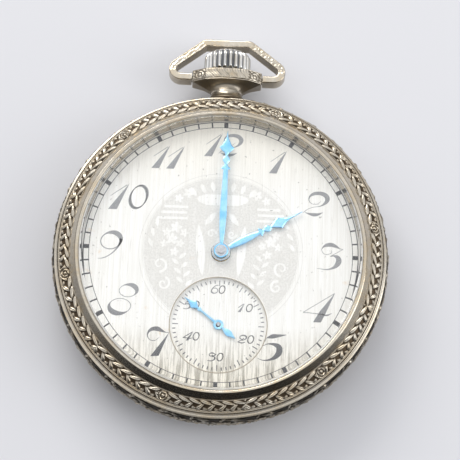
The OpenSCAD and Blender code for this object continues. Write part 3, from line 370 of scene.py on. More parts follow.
def bezel_relief(angle, r, z):
    """Laurel band between six rosettes on the bezel's outer slope, with painted shade in its recesses and grooves.
    """
    sector = TAU / ROSETTES
    clock = (math.pi / 2 - angle - ROSETTE_START) % sector
    from_mid = (clock - sector / 2) * BAND_MID
    across = r - BAND_MID
    half_band = (BAND_OUT - BAND_IN) / 2
    band = (z > BAND_FOOT) & (np.abs(across) < half_band)
    leaves = leaf_rows(sector / 2 * BAND_MID - np.abs(from_mid), across)
    to_rose = np.minimum(clock, sector - clock) * BAND_MID
    distance = np.hypot(to_rose, across)
    near = smoothstep(distance, 0.6, 0.72)
    field = leaves * near + rosette(distance, np.arctan2(across, to_rose)) * (1 - near)
    height = np.where(band, (field - 0.45) * 0.32, 0)
    # painted shade: lower leaves and the gaps between them are darker in colour, the inner row brightest
    shade = np.where(band, field, 1.0)
    # painted shade: the groove inside the band and the gap by the beads are darkened in colour
    groove = (z > BEZEL_LOW + 1.2) & (np.abs(r - BAND_IN + 0.06) < 0.07)
    gap = (z > BEZEL_LOW + 0.3) & (np.abs(r - BEAD_GAP_R) < 0.05)
    shade = np.where(groove, 0.42, shade)
    return height, np.where(gap, 0.08, shade)


def scrolls(along, across, pitch, size):
    """Height of a running scroll: spirals that alternate above and below a waving stem."""
    cell = np.floor(along / pitch)
    best = np.zeros_like(along)
    for step in (-1, 0, 1):
        index = cell + step
        side = np.where(index % 2 == 0, 1.0, -1.0)
        x = along - (index + 0.5) * pitch
        y = across - side * size * 0.28
        distance = np.hypot(x, y)
        turn = np.arctan2(y * side, x)
        spiral = 0.5 + 0.5 * np.cos(TAU * distance / (size * 0.42) - turn)
        best = np.maximum(best, spiral ** 1.5 * np.exp(-(distance / (size * 0.62)) ** 4))
        petal = 0.5 + 0.5 * np.cos(5 * turn + distance * 6)
        rim = np.exp(-((distance - size * 0.62) / (size * 0.16)) ** 2)
        best = np.maximum(best, petal * rim)
    stem = np.exp(-((across - 0.3 * size * np.cos(along / pitch * math.pi)) / 0.12) ** 2)
    return np.maximum(best, 0.9 * stem)


def side_relief(angle, r, z):
    """Scroll engraving round the case's side, between two plain rims, with painted shade in the recesses."""
    low, high = BACK_TOP + 0.35, BEZEL_LOW - 0.16
    middle, half = (low + high) / 2, (high - low) / 2
    outside = r > SHOULDER_R - 0.2
    band = outside & (z > low) & (z < high)
    pitch = TAU * CASE_R / 66
    wander = 0.3 * np.sin(11 * angle) + 0.22 * np.sin(29 * angle + 1) + 0.15 * np.sin(53 * angle + 2)
    field = scrolls(angle * CASE_R + wander, z - middle, pitch, half)
    field *= 0.75 + 0.25 * np.sin(angle * 84 + 3 * z) * np.cos(angle * 31 + 5 * z)
    field *= 1 - smoothstep(np.abs(z - middle), half - 0.15, half)
    # painted shade: the returned shade darkens the scrolls' recesses
    return np.where(band, (field - 0.8) * 0.34, 0), np.where(band, field * 0.85 - 0.08, 1.0)


def back_relief(angle, r, z):
    """Engraved border round the back: a wreath of scrolls inside two fine lines, with painted shade in the cuts.
    """
    outside = z < BACK_TOP * 0.55
    middle, half = SHOULDER_R - 4.3, 1.35
    band = outside & (np.abs(r - middle) < half)
    field = scrolls(angle * middle, r - middle, TAU * middle / 48, half)
    field *= 1 - smoothstep(np.abs(r - middle), half - 0.15, half)
    lines = outside & ((np.abs(r - middle - half - 0.2) < 0.05) | (np.abs(r - middle + half + 0.2) < 0.05))
    height = np.where(band, (field - 1) * 0.1, 0) - np.where(lines, 0.05, 0)
    # painted shade: the scrolls' recesses and the two cut lines are darkened in colour
    return height, np.where(band, field, np.where(lines, 0.2, 1.0))


# ---------------------------------------------------------------- case
GOLD = (0.62, 0.565, 0.47)
# painted shade: the colour painted into the engraving's recesses
GOLD_SHADE = (0.09, 0.066, 0.043)


def make_case(material, side_material, back_material):
    """Bezel ring, engraved side and dished back, each turned and then engraved."""
    sh, low, top, face = SHOULDER_R, BEZEL_LOW, BEZEL_TOP, DIAL_FACE
    lip = sh - SNAP_LIP
    opening = CRYSTAL_R - 0.6
    outer = [(0.12, 0, 1), (0.06, 0.2, 3), (0.06, 0.4, 3), (0.13, 0.56, 3), (0.21, 0.6, 2), (0.25, 0.46, 3),
             (0.30, 0.46, 2), (0.34, 0.7, 3), (0.41, 0.8, 3), (0.48, 0.72, 2)]
    r, seat = CRYSTAL_R, CRYSTAL_LOW
    bezel = [(sh - inset, low + up, steps) for inset, up, steps in outer] + [
        (BAND_OUT, low + 0.88, 44), (BAND_IN, low + 1.5, 2), (BAND_IN - 0.06, low + 1.42, 2),
        (BAND_IN - 0.12, low + 1.5, 12), (r + 0.3, top - 0.42, 3), (r + 0.18, top - 0.34, 3),
        (r - 0.02, top - 0.38, 2), (r - 0.2, top - 0.46, 2), (r - 0.24, top - 0.52, 2),
        (r - 0.24, seat + 0.40, 2), (r + 0.03, seat + 0.35, 2), (r + 0.03, seat - 0.03, 2),
        (r - 0.32, seat - 0.03, 4), (opening, face + 0.42, 2), (opening, face + 0.25, 2),
        (DIAL_R + 0.1, face + 0.25, 2), (lip, low + 0.78, 2), (lip, low, 2)]
    lathe("bezel_ring", bezel, 1800, bezel_relief, material, "bezel", ("bezel",))

    bore = CASE_R - CASE_WALL
    middle = (BACK_TOP + low) / 2
    half = (low - BACK_TOP) / 2 - 0.06
    bulge = [(sh + (CASE_R - sh) * math.sqrt(max(0, 1 - abs(t) ** 3)), middle + t * half, 6)
             for t in (-1, -0.97, -0.9, -0.75, -0.5, -0.25, 0, 0.25, 0.5, 0.75, 0.9, 0.97)]
    snap = sh - 0.55 - 0.12
    centre = [(bore, CENTRE_LOW, 2), (snap, CENTRE_LOW, 2), (snap, BACK_TOP + 0.03, 2), *bulge,
              (sh, middle + half, 2), (snap, low - 0.03, 2), (snap, CENTRE_HIGH, 2), (bore, CENTRE_HIGH, 4)]
    lathe("case_side", centre, 1800, side_relief, side_material, "case", ("case_centre",))

    flat, t = 15.0, 0.6
    rim_z = BACK_TOP
    dish = [(flat + (sh - flat) * math.sin(a), (rim_z - 0.5) * (1 - math.cos(a)), 14)
            for a in np.radians(np.arange(0, 90, 15))]
    inner = [(flat - 0.3 + (sh - t - 0.9 - flat) * math.sin(a), t + (rim_z - 1.6) * (1 - math.cos(a)), 3)
             for a in np.radians(np.arange(75, -1, -15))]
    back = [(0.02, 0, 10), *dish, (sh, rim_z - 0.5, 3), (sh, rim_z - 0.15, 2), (sh - 0.1, rim_z, 2),
            (lip, rim_z, 2), (lip, rim_z - 0.75, 2), (sh - 1.15, rim_z - 0.75, 2),
            *inner, (0.02, t, 1)]
    lathe("back_shell", back, 1080, back_relief, back_material, "back", ("back_cover",))


def ground_edge(angle, r, z):
    """The glass is clear, but for the narrow ground bevel just inside the bezel."""
    bevel = (r > CRYSTAL_R - 0.4) & (z > CRYSTAL_LOW + 0.36)
    return np.zeros_like(r), np.where(bevel, 0.0, 1.0)


def make_crystal():
    """Domed glass with a bevelled rim; it dims neither the dial nor its shadow."""
    r, low = CRYSTAL_R - 0.01, CRYSTAL_LOW
    dome = CRYSTAL_R - 0.9
    rise = 0.45
    top = CRYSTAL_TOP - rise
    pole = 0.05
    under = [(0.004, low + rise, 1), (pole, low + rise, 8), (dome * 0.5, low + rise * 0.75, 8),
             (dome, low, 2)]
    edge = [(r, low, 2), (r, low + 0.3, 1), (r - 0.3, low + 0.38, 1), (r - 0.34, top - 0.3, 2),
            (r - 0.42, top - 0.12, 2), (r - 0.62, top - 0.02, 2), (r - 0.85, top, 3)]
    over = [(dome * k / 6, top + rise * (1 - (k / 6) ** 2), 4) for k in range(6, 0, -1)]
    material, tree, shader = new_material("watch_glass", 0.0, 0.015)
    shader.inputs["Base Color"].default_value = (0.985, 0.995, 0.99, 1)
    ground = attribute(tree, "relief")
    tree.links.new(ramp(tree, ground, (0.2, 0.45), (0.8, 1.0)), shader.inputs["Transmission Weight"])
    tree.links.new(ramp(tree, ground, (0.2, 0.4), (0.8, 0.015)), shader.inputs["Roughness"])
    shader.inputs["IOR"].default_value = 1.49
    glass = lathe("crystal_dome", under + edge + over + [(pole, top + rise, 1), (0.004, top + rise, 1)], 360,
                  ground_edge, material, "bezel", ("crystal",))
    glass.visible_shadow = False
    glass.visible_diffuse = False


# ---------------------------------------------------------------- pendant, crown and bow
# the head's outline as fractions of its half width; HEAD_TURN is where the end facets begin
HEAD_QUARTER = [(1, 0.24), (0.62, 0.50), (0.22, 0.58)]
HEAD_HALF = HEAD_QUARTER + [(-x, z) for x, z in HEAD_QUARTER[::-1]]
HEAD_CORNERS = np.array(HEAD_HALF + [(-x, -z) for x, z in HEAD_HALF])
HEAD_TURN = HEAD_CORNERS[1, 0]


def head_section(angle):
    """The pendant head's outline, a lens with flat ends, at each angle."""
    turn = np.arctan2(HEAD_CORNERS[:, 1], HEAD_CORNERS[:, 0]) % TAU
    k = np.searchsorted(turn, angle) % len(turn)
    p = HEAD_CORNERS[k - 1]
    edge = HEAD_CORNERS[k] - p
    d = np.stack([np.cos(angle), np.sin(angle)], axis=1)
    reach = (p[:, 0] * edge[:, 1] - p[:, 1] * edge[:, 0]) / (d[:, 0] * edge[:, 1] - d[:, 1] * edge[:, 0])
    return d * reach[:, None] * HEAD_HALF_W


def make_pendant(material):
    """Neck, conical flare and the engraved head that holds the bow, with painted shade in its grooves, bore and
    engraving.
    """
    count = 360
    angle = np.arange(count) / count * TAU
    circle = np.stack([np.cos(angle), np.sin(angle)], axis=1)
    head = head_section(angle)
    base, start, end = CASE_R - 0.42, PIVOT_Y - HEAD_HALF_L, PIVOT_Y + HEAD_HALF_L
    neck_l, bore = 1.4, 1.5
    # painted shade: each ring's last number is its colour tone; the neck's foot, the grooves at the head's ends
    # and the bore are painted dark
    rings = [(base + y, circle * (NECK_R + r), tone) for y, r, tone in (
        (0, 0.55, 0.1), (0.22, 0.5, 0.12), (0.34, 0.46, 0.5), (0.5, 0.32, 0.55), (0.7, 0.16, 0.5),
        (0.95, 0.05, 0.45), (1.2, 0, 0.5), (neck_l, 0, 0.5))]
    for t in np.linspace(0.04, 1, 16):
        grow = 0.4 * t * t + 0.6 * t
        outline = circle * NECK_R * (1 - grow) + head * [0.985, 0.97 - 0.5 * (1 - grow)] * grow
        rings.append((base + neck_l + (start - base - neck_l) * t, outline, 0.34))
    rings += [(start + 0.05, head, 1.0), (start + 0.15, head, 1.0), (start + 0.19, head * 0.975, 0.05),
              (start + 0.25, head * 0.975, 0.05), (start + 0.3, head * 0.995, 1.0)]
    rings += [(y, head, 1.0) for y in np.linspace(start + 0.33, end - 0.16, 22)]
    rings += [(end - 0.12, head * 0.98, 0.2), (end - 0.08, head, 1.0), (end - 0.02, head * 0.985, 1.0),
              (end, head * 0.95, 0.6), (end, circle * (bore + 0.1), 0.3), (end - 0.6, circle * bore, 0.1),
              (base, circle * bore, 0.1)]
    verts = np.array([np.stack([outline[:, 0], np.full(count, y), outline[:, 1]], axis=1)
                      for y, outline, _ in rings])
    shade = np.array([np.full(count, tone) for _, _, tone in rings])
    # slanted acanthus leaves in the middle, a flower on each end facet
    x, y = verts[..., 0], verts[..., 1] - PIVOT_Y
    on_band = (verts[..., 1] > start + 0.31) & (verts[..., 1] < end - 0.14)
    facet = HEAD_HALF_W * (HEAD_TURN + 1) / 2
    slant = x / 1.15 + 0.55 * y + 0.12 * np.sin(5 * y)
    blade = np.abs(slant % 1 - 0.5) * 2
    leaves = np.clip(1.25 - blade ** 3 - 0.9 * np.exp(-((blade - 0.35) / 0.1) ** 2), 0, 1)
    distance = np.hypot(np.abs(x) - facet, y)
    flower = rosette(distance, np.arctan2(y, np.abs(x) - facet))
    ends = np.where(distance < 0.66, flower, 0.38 + 0.3 * np.sin(9 * x + 7 * y) * np.sin(8 * y))
    field = np.where(np.abs(x) < HEAD_HALF_W * HEAD_TURN, leaves, ends)
    field = np.where(np.abs(x) > HEAD_HALF_W - 0.02, 0.8, field)
    out = verts * [1, 0, 1]
    out /= np.maximum(np.linalg.norm(out, axis=-1, keepdims=True), 1e-9)
    verts = verts + out * np.where(on_band, (field - 0.8) * 0.14, 0)[..., None]
    verts = verts + [0, 0, STEM_Z]
    piece = add_object("pendant_head", verts.reshape(-1, 3), grid_faces(len(rings), count), material,
                       "case", ("pendant",))
    # painted shade: the engraving's recesses are darker in colour
    store(piece, "relief", np.where(on_band, 0.12 + 0.88 * field, shade))


def make_crown(material):
    """A fluted winding crown with a rounded outer end, with painted shade in the flute valleys."""
    flutes, per = 24, 20
    count = flutes * per
    angle = np.arange(count) / count * TAU
    length = CROWN_HIGH_Y - CROWN_LOW_Y
    profile = [(0.7, 0.35, 0), (1.9, 0.35, 0), (2.3, 0.0, 0), (CROWN_R - 0.42, 0.0, 0),
               (CROWN_R - 0.06, 0.02, 1), (CROWN_R, 0.1, 1), (CROWN_R, 0.6, 1), (CROWN_R, length - 1.1, 1)]
    for t in np.radians(np.arange(10, 91, 10)):
        profile.append((CROWN_R - 0.95 * (1 - math.cos(t)), length - 1.0 + 0.94 * math.sin(t),
                        max(0.0, 1 - (t / 1.45) ** 3)))
    profile += [(CROWN_R - 1.1, length - 0.1, 0), (CROWN_R - 1.25, length - 0.03, 0), (1.2, length, 0),
                (0.02, length, 0)]
    valley = (0.5 + 0.5 * np.cos(flutes * angle)) ** 1.3
    verts, shade = [], []
    for r, y, depth in profile:
        ring = r - 0.4 * depth * valley
        verts.append(np.stack([ring * np.sin(angle), np.full(count, CROWN_LOW_Y + y),
                               STEM_Z + ring * np.cos(angle)], axis=1))
        # painted shade: the flute valleys are darkened in colour
        shade.append(1 - 0.95 * depth * smoothstep(valley, 0.3, 0.85))
    piece = add_object("crown_knob", np.array(verts).reshape(-1, 3),
                       grid_faces(len(profile), count, close_rows=False), material, "crown",
                       ("crown",))
    store(piece, "relief", np.array(shade))


def arc_points(centre, radius, start, end, steps):
    a = np.radians(np.linspace(start, end, steps))
    return np.stack([centre[0] + radius * np.cos(a), centre[1] + radius * np.sin(a)], axis=1)


def resample(points, step):
    """Points at even distances along a line, and how far along each one is."""
    gaps = np.linalg.norm(np.diff(points, axis=0), axis=1)
    length = np.concatenate([[0], np.cumsum(gaps)])
    s = np.linspace(0, length[-1], int(length[-1] / step) + 1)
    return np.stack([np.interp(s, length, points[:, k]) for k in range(points.shape[1])], axis=1), s


def make_bow(material):
    """One bar bent round, rectangular with soft edges, engraved on the sloping sides, with painted shade on its
    flanks and in the cuts.
    """
    half = BOW_BAR / 2
    low_bend, top_bend = 1.7, 1.2
    low_c = np.array([BOW_W - low_bend, 1.2])
    top_c = np.array([BOW_TOP_W - 0.5, BOW_REACH - top_bend])
    low_r, top_r = low_bend - half, top_bend - half
    gap = top_c - low_c
    slope = math.degrees(math.atan2(gap[1], gap[0]))
    tilt = math.degrees(math.asin((low_r - top_r) / np.linalg.norm(gap)))
    normal = slope - 90 + tilt
    right = np.vstack([[[HEAD_HALF_W + 0.1, low_c[1] - low_r]],
                       arc_points(low_c, low_r, -90, normal, 14),
                       arc_points(top_c, top_r, normal, 90, 10)])
    left = right[::-1] * [-1, 1]
    path, s = resample(np.vstack([right, left]), 0.09)
    along = np.gradient(path, axis=0)
    along /= np.linalg.norm(along, axis=1, keepdims=True)
    side = np.stack([along[:, 1], -along[:, 0]], axis=1)
    corner = 0.16
    # how far from the top's middle the engraving on the sloping sides begins and ends
    engraved, plain = (3.2, 3.6), (9.3, 9.8)
    hw, ht = half + 0.02, BOW_T / 2
    outline = []
    for cx, cy, a0 in ((hw - corner, ht - corner, 0), (-hw + corner, ht - corner, 90),
                       (-hw + corner, -ht + corner, 180), (hw - corner, -ht + corner, 270)):
        outline.append(arc_points((cx, cy), corner, a0, a0 + 90, 4))
    ring = np.vstack(outline)
    ring = resample(np.vstack([ring, ring[:1]]), 0.1)[0][:-1]
    verts, shade = [], []
    middle = s[-1] / 2
    for p, n, d in zip(path, side, s):
        from_end = abs(d - middle)
        sloped = smoothstep(from_end, *engraved) * (1 - smoothstep(from_end, *plain))
        cut = (np.abs(ring[:, 1]) > ht - 0.08) & (np.abs(ring[:, 0]) < hw - 0.12)
        curl = scrolls(np.full(len(ring), from_end), ring[:, 0] * 1.2, 0.95, 0.62)
        field = np.where(cut, curl, 1.0)
        push = np.where(cut, (field - 1) * 0.09 * sloped, 0)
        # painted shade: the bar's flanks are darker than its top, the inner flank darkest, and the engraving's
        # cuts darker in colour
        flank_shade = np.where(ring[:, 0] > 0, 0.5, 0.4)
        z = ring[:, 1] + np.sign(ring[:, 1]) * push
        verts.append(np.stack([p[0] + n[0] * ring[:, 0], p[1] + n[1] * ring[:, 0], z], axis=1))
        flank = smoothstep(ht - np.abs(ring[:, 1]), 0.1, 0.3)
        shade.append((1 - (1 - field) * sloped * 0.62) * (1 - flank) + flank_shade * flank)
    verts = np.array(verts)
    rows, columns = verts.shape[:2]
    flat = verts.reshape(-1, 3)
    turned = np.stack([flat[:, 0],
                       PIVOT_Y + flat[:, 1] * math.cos(BOW_DROOP) + flat[:, 2] * math.sin(BOW_DROOP),
                       STEM_Z - flat[:, 1] * math.sin(BOW_DROOP) + flat[:, 2] * math.cos(BOW_DROOP)], axis=1)
    faces = grid_faces(rows, columns, close_rows=False)
    faces += [list(range(columns))[::-1], list(range((rows - 1) * columns, rows * columns))]
    piece = add_object("bow_loop", turned, faces, material, "bow", ("bow",))
    store(piece, "relief", np.array(shade))
    for side_x, hand in ((-1, "left"), (1, "right")):
        count = 24
        a = np.arange(count) / count * TAU
        rings = [(HEAD_HALF_W - 2, PIN_R - 0.07), (HEAD_HALF_W - 1.95, PIN_R), (HEAD_HALF_W + 0.3, PIN_R)]
        verts = np.array([np.stack([np.full(count, side_x * x), PIVOT_Y + r * np.cos(a),
                                    STEM_Z + r * np.sin(a)], axis=1) for x, r in rings])
        faces = grid_faces(3, count, close_rows=False)
        faces += [list(range(count)), list(range(2 * count, 3 * count))[::-1]]
        pin = add_object(f"bow_pin_{hand}", verts.reshape(-1, 3), faces, material, "bow")
        store(pin, "relief", np.ones(3 * count))


# ---------------------------------------------------------------- printed work
def smooth(points, step=0.12):
    """A Catmull-Rom curve through points of any number of values."""
    p = np.asarray(points, dtype=float)
    if len(p) < 3:
        count = max(2, int(np.linalg.norm(p[1, :2] - p[0, :2]) / step) + 1)
        t = np.linspace(0, 1, count)[:, None]
        return p[0] * (1 - t) + p[1] * t
    padded = np.vstack([2 * p[0] - p[1], p, 2 * p[-1] - p[-2]])
    out = []
    for a, b, c, d in zip(padded[:-3], padded[1:-2], padded[2:-1], padded[3:]):
        count = max(2, int(np.linalg.norm(c[:2] - b[:2]) / step) + 1)
        for t in np.arange(count) / count:
            out.append(0.5 * (2 * b + (c - a) * t + (2 * a - 5 * b + 4 * c - d) * t * t
                              + (3 * b - a - 3 * c + d) * t ** 3))
    return np.array(out + [p[-1]])


class Print:
    """Thin raised print collected into one mesh: strokes, plates and rings of closed solids."""

    def __init__(self, z, thick, hair=0.045):
        self.z, self.thick, self.hair = z, thick, hair
        self.verts, self.faces, self.count = [], [], 0

    def add(self, verts, faces):
        self.verts.append(verts)
        self.faces += [[i + self.count for i in face] for face in faces]
        self.count += len(verts)

    def stroke(self, points, closed=False):
        """A ribbon along (x, y, width) points, with sloping sides."""
        p = np.asarray(points, dtype=float)
        if closed:
            along = np.roll(p, -1, 0)[:, :2] - np.roll(p, 1, 0)[:, :2]
        else:
            along = np.gradient(p[:, :2], axis=0)
        along /= np.maximum(np.linalg.norm(along, axis=1, keepdims=True), 1e-9)
        side = np.stack([along[:, 1], -along[:, 0]], axis=1)
        half = np.maximum(p[:, 2:3], self.hair) / 2
        inset = np.minimum(0.3 * half, 0.015)
        rails = [(half, 0), (half - inset, 1), (-half + inset, 1), (-half, 0)]
        verts = np.stack([np.column_stack([p[:, :2] + side * h, np.full(len(p), self.z + k * self.thick)])
                          for h, k in rails], axis=1)
        faces = grid_faces(len(p), 4, close_rows=closed)
        if not closed:
            faces += [[0, 1, 2, 3], [4 * len(p) - k for k in (1, 2, 3, 4)]]
        self.add(verts.reshape(-1, 3), faces)

    def plate(self, outline):
        """A flat piece with the given outline, counter-clockwise."""
        p = np.asarray(outline, dtype=float)
        n = len(p)
        low = np.column_stack([p, np.full(n, self.z)])
        high = np.column_stack([p, np.full(n, self.z + self.thick)])
        faces = [[i, (i + 1) % n, n + (i + 1) % n, n + i] for i in range(n)]
        self.add(np.vstack([low, high]), faces + [list(range(n))[::-1], list(range(n, 2 * n))])

    def ring(self, centre, radius, width, steps=240):
        a = np.arange(steps) / steps * TAU
        self.stroke(np.stack([centre[0] + radius * np.cos(a), centre[1] + radius * np.sin(a),
                              np.full(steps, width)], axis=1), closed=True)

    def piece(self, name, material, body, slot):
        return add_object(name, np.vstack(self.verts), self.faces, material, body, smooth=False)


def oval(centre, radii, lean, heavy, light, thick, steps=56):
    """A closed oval stroke, thick towards the direction heavy and thin opposite it."""
    a = np.arange(steps) / steps * TAU
    x = radii[0] * np.cos(a)
    y = radii[1] * np.sin(a)
    weight = np.clip(np.cos(a - math.radians(heavy)), 0, 1) ** 1.6
    return np.stack([centre[0] + x + lean * y, centre[1] + y, light + (thick - light) * weight], axis=1)


# Each figure is drawn one unit high and centred on x: strokes of (x, y, width), and plain plates.
HAIR = 0.018
TWO_BOWL = [(0.17, 0.61, 0.01), (0.02, 0.50, HAIR), (-0.17, 0.51, 0.02), (-0.28, 0.64, 0.03),
            (-0.24, 0.80, 0.07), (-0.09, 0.90, 0.12), (0.12, 0.925, 0.14), (0.31, 0.87, 0.17),
            (0.41, 0.73, 0.18), (0.35, 0.57, 0.12), (0.16, 0.43, 0.035), (-0.12, 0.37, HAIR),
            (-0.33, 0.28, 0.02), (-0.49, 0.14, 0.02)]
TWO_FOOT = [(-0.42, 0.157, 0.01), (-0.28, 0.115, 0.07), (-0.09, 0.08, 0.13), (0.09, 0.105, 0.09),
            (0.25, 0.185, 0.01)]
THREE_TOP = [(-0.29, 0.73, 0.015), (-0.23, 0.83, 0.05), (-0.11, 0.905, 0.12), (0.05, 0.92, 0.145),
             (0.21, 0.865, 0.10), (0.35, 0.79, 0.03), (0.455, 0.775, 0.012)]
THREE_CURL = [(-0.29, 0.73, HAIR), (-0.21, 0.60, HAIR), (-0.08, 0.57, HAIR), (0.06, 0.64, HAIR),
              (0.05, 0.72, 0.01)]
THREE_BOWL = [(0.02, 0.50, 0.015), (0.14, 0.53, 0.05), (0.27, 0.476, 0.15), (0.31, 0.35, 0.19),
              (0.25, 0.216, 0.16), (0.11, 0.10, 0.08), (-0.11, 0.04, 0.035), (-0.44, 0.07, 0.012)]
FIVE_FLAG = [(-0.19, 0.79, 0.03), (0.01, 0.85, 0.15), (0.22, 0.88, 0.10), (0.485, 0.92, 0.01)]
FIVE_BOWL = [(-0.34, 0.49, HAIR), (-0.16, 0.575, 0.03), (0.05, 0.57, 0.10), (0.22, 0.49, 0.19),
             (0.245, 0.305, 0.21), (0.12, 0.134, 0.15), (-0.07, 0.03, 0.07), (-0.30, 0.0, 0.03),
             (-0.49, 0.06, 0.015)]
SEVEN_TOP = [(0.04, 0.64, 0.01), (-0.08, 0.535, HAIR), (-0.25, 0.54, 0.02), (-0.345, 0.67, 0.03),
             (-0.31, 0.82, 0.07), (-0.19, 0.91, 0.12), (-0.03, 0.92, 0.15), (0.12, 0.86, 0.09),
             (0.23, 0.817, 0.03), (0.35, 0.81, 0.015)]
NINE_TAIL = [(0.27, 0.72, 0.11), (0.23, 0.55, 0.08), (0.09, 0.32, 0.045), (-0.11, 0.135, 0.035),
             (-0.31, 0.035, 0.03), (-0.47, 0.017, 0.01)]


def turned(points):
    """The same stroke turned half a turn about the figure's middle."""
    return [(-x, 1 - y, w) for x, y, w in points]


NINE_OVAL = oval((-0.07, 0.645), (0.335, 0.29), 0.1, 50, 0.035, 0.17)
FIGURES = {
    "0": ([], [oval((0, 0.5), (0.30, 0.43), 0.16, 45, 0.03, 0.13),
               oval((0, 0.5), (0.30, 0.43), 0.16, 225, 0.03, 0.13)], []),
    "1": ([[(-0.30, 0.505, HAIR), (0.28, 0.94, 0.03)]], [], [[(-0.366, 0), (-0.05, 0), (0.362, 1)]]),
    "2": ([TWO_BOWL, TWO_FOOT], [], []),
    "3": ([THREE_TOP, THREE_CURL, [(0.445, 0.77, HAIR), (0.015, 0.505, HAIR)], THREE_BOWL], [], []),
    "4": ([[(0.485, 0.97, 0.02), (-0.515, 0.31, 0.02)],
           [(-0.515, 0.31, 0.02), (-0.24, 0.297, 0.02), (0.03, 0.273, 0.03), (0.24, 0.242, 0.05),
            (0.41, 0.31, 0.01)]], [],
          [[(-0.188, 0), (0.061, 0), (0.197, 0.273), (0.515, 1.0), (0.02, 0.36)]]),
    "5": ([FIVE_FLAG, [(-0.20, 0.78, HAIR), (-0.335, 0.49, HAIR)], FIVE_BOWL], [], []),
    "6": ([turned(NINE_TAIL)], [[(-x, 1 - y, w) for x, y, w in NINE_OVAL]], []),
    "7": ([SEVEN_TOP], [], [[(-0.221, 0.0), (0.048, 0.02), (0.36, 0.81)]]),
    "8": ([], [oval((0.135, 0.765), (0.27, 0.195), 0.05, 40, 0.02, 0.15),
               oval((-0.09, 0.275), (0.33, 0.235), 0.05, 235, 0.02, 0.165)], []),
    "9": ([NINE_TAIL], [NINE_OVAL], []),
}


def outside_sunk(points):
    """The longest run of a stroke that stays out of the seconds opening."""
    p = np.asarray(points)
    keep = np.hypot(p[:, 0], p[:, 1] - SECONDS_Y) > SUNK_R + 0.12
    runs, start = [], None
    for i, good in enumerate(list(keep) + [False]):
        if good and start is None:
            start = i
        if not good and start is not None:
            runs.append((i - start, start, i))
            start = None
    if not runs:
        return None
    _, first, last = max(runs)
    return p[first:last] if last - first > 2 else None


def figure(out, digit, centre, height, clip=False, wide=1.0):
    """Draw one figure with its middle at centre."""
    strokes, ovals, plates = FIGURES[digit]

    def placed(points):
        p = np.array(points, dtype=float)
        p[:, 0] = centre[0] + p[:, 0] * height * wide
        p[:, 1] = centre[1] + (p[:, 1] - 0.5) * height
        if p.shape[1] > 2:
            p[:, 2] *= height
        return p

    for points in strokes:
        line = smooth(placed(points), height * 0.03)
        line = outside_sunk(line) if clip else line
        if line is not None:
            out.stroke(line)
    for points in ovals:
        out.stroke(placed(points), closed=True)
    for points in plates:
        out.plate(placed(points))


def polar(radius, clock_degrees):
    a = math.radians(clock_degrees)
    return radius * math.sin(a), radius * math.cos(a)


# height of each hour figure, and how far the two digits of a pair stand from its middle
HOUR_FIGURES = {12: 3.35, 1: 3.3, 2: 3.6, 3: 3.9, 4: 4.1, 5: 3.8, 7: 4.0, 8: 4.3, 9: 4.0, 10: 3.7, 11: 3.3}
PAIR_GAP = {12: (-1.18, 1.2), 10: (-1.4, 1.25), 11: (-1.0, 1.0)}
FIGURE_RING = 15.0
TRACK_OUT, TRACK_IN = 18.35, 17.6
DIAL_TURN = 0.34
# how far each hour figure sits from its place on the ring, across and up
HOUR_SHIFT = {12: (-0.44, 0.1), 11: (-0.19, 0.05), 10: (0.35, -0.33), 9: (0.55, 0.33), 8: (0.36, 0.5),
              7: (-0.27, 0.49), 5: (-0.25, 0.5), 4: (0.3, 0.55), 3: (-0.45, 0.05), 2: (-0.4, -0.2),
              1: (-0.27, 0.05)}
# where each seconds figure stands from the small dial's centre, and its height
SECONDS_FIGURES = {60: (-0.2, 4.85), 10: (3.5, 2.5), 20: (3.8, -1.75), 30: (-0.15, -4.25),
                   40: (-3.4, -1.6), 50: (-3.55, 2.65)}
SECONDS_HEIGHT = 1.2
# radii where the seconds ticks begin and end
SECONDS_LONG, SECONDS_SHORT, SECONDS_OUT = 5.3, 5.66, 6.08


def make_numerals(ink):
    """The hour figures, leaning, in their own slightly uneven places."""
    out = Print(DIAL_FACE, 0.02)
    for hour, height in HOUR_FIGURES.items():
        x, y = polar(FIGURE_RING, hour * 30 + DIAL_TURN)
        right, up = HOUR_SHIFT[hour]
        for digit, dx in zip(str(hour), PAIR_GAP.get(hour, (0,))):
            figure(out, digit, (x + right + dx, y + up), height, clip=hour in (5, 7))
    out.piece("dial_hour_figures", ink, "case", "dial_silver")


def make_minute_track(ink):
    """Two fine rings with a line for each minute and a block for each fifth."""
    out = Print(DIAL_FACE, 0.015)
    out.ring((0, 0), TRACK_OUT, 0.11)
    out.ring((0, 0), TRACK_IN, 0.08)
    for minute in range(60):
        wide = 0.56 if minute % 5 == 0 else 0.2
        x, y = polar(1, minute * 6 + DIAL_TURN)
        out.stroke([(x * r, y * r, wide) for r in (TRACK_IN, (TRACK_IN + TRACK_OUT) / 2, TRACK_OUT)])
    out.piece("dial_minute_track", ink, "case", "dial_silver")


def make_seconds_print(ink, line):
    """The small dial's sixty ticks and six figures, and the rim round its opening."""
    out = Print(SUNK_FACE, 0.012, 0.11)
    centre = (0, SECONDS_Y)
    for second in range(60):
        long = second % 5 == 0
        low = SECONDS_LONG if long else SECONDS_SHORT
        x, y = polar(1, second * 6)
        out.stroke([(x * r, centre[1] + y * r, 0.12 if long else 0.14) for r in (low, 5.85, SECONDS_OUT)])
    for second, (x, y) in SECONDS_FIGURES.items():
        for digit, dx in zip(str(second), (-0.54, 0.54)):
            figure(out, digit, (x + dx, centre[1] + y), SECONDS_HEIGHT, wide=1.05)
    out.piece("seconds_figures", ink, "case", "dial_silver")
    edge = Print(DIAL_FACE - 0.02, 0.05)
    edge.ring(centre, SUNK_R + 0.05, 0.13)
    edge.piece("seconds_rim", line, "case", "dial_silver")


MEDALLION_R = 10.95
FIELD_R = 10.35


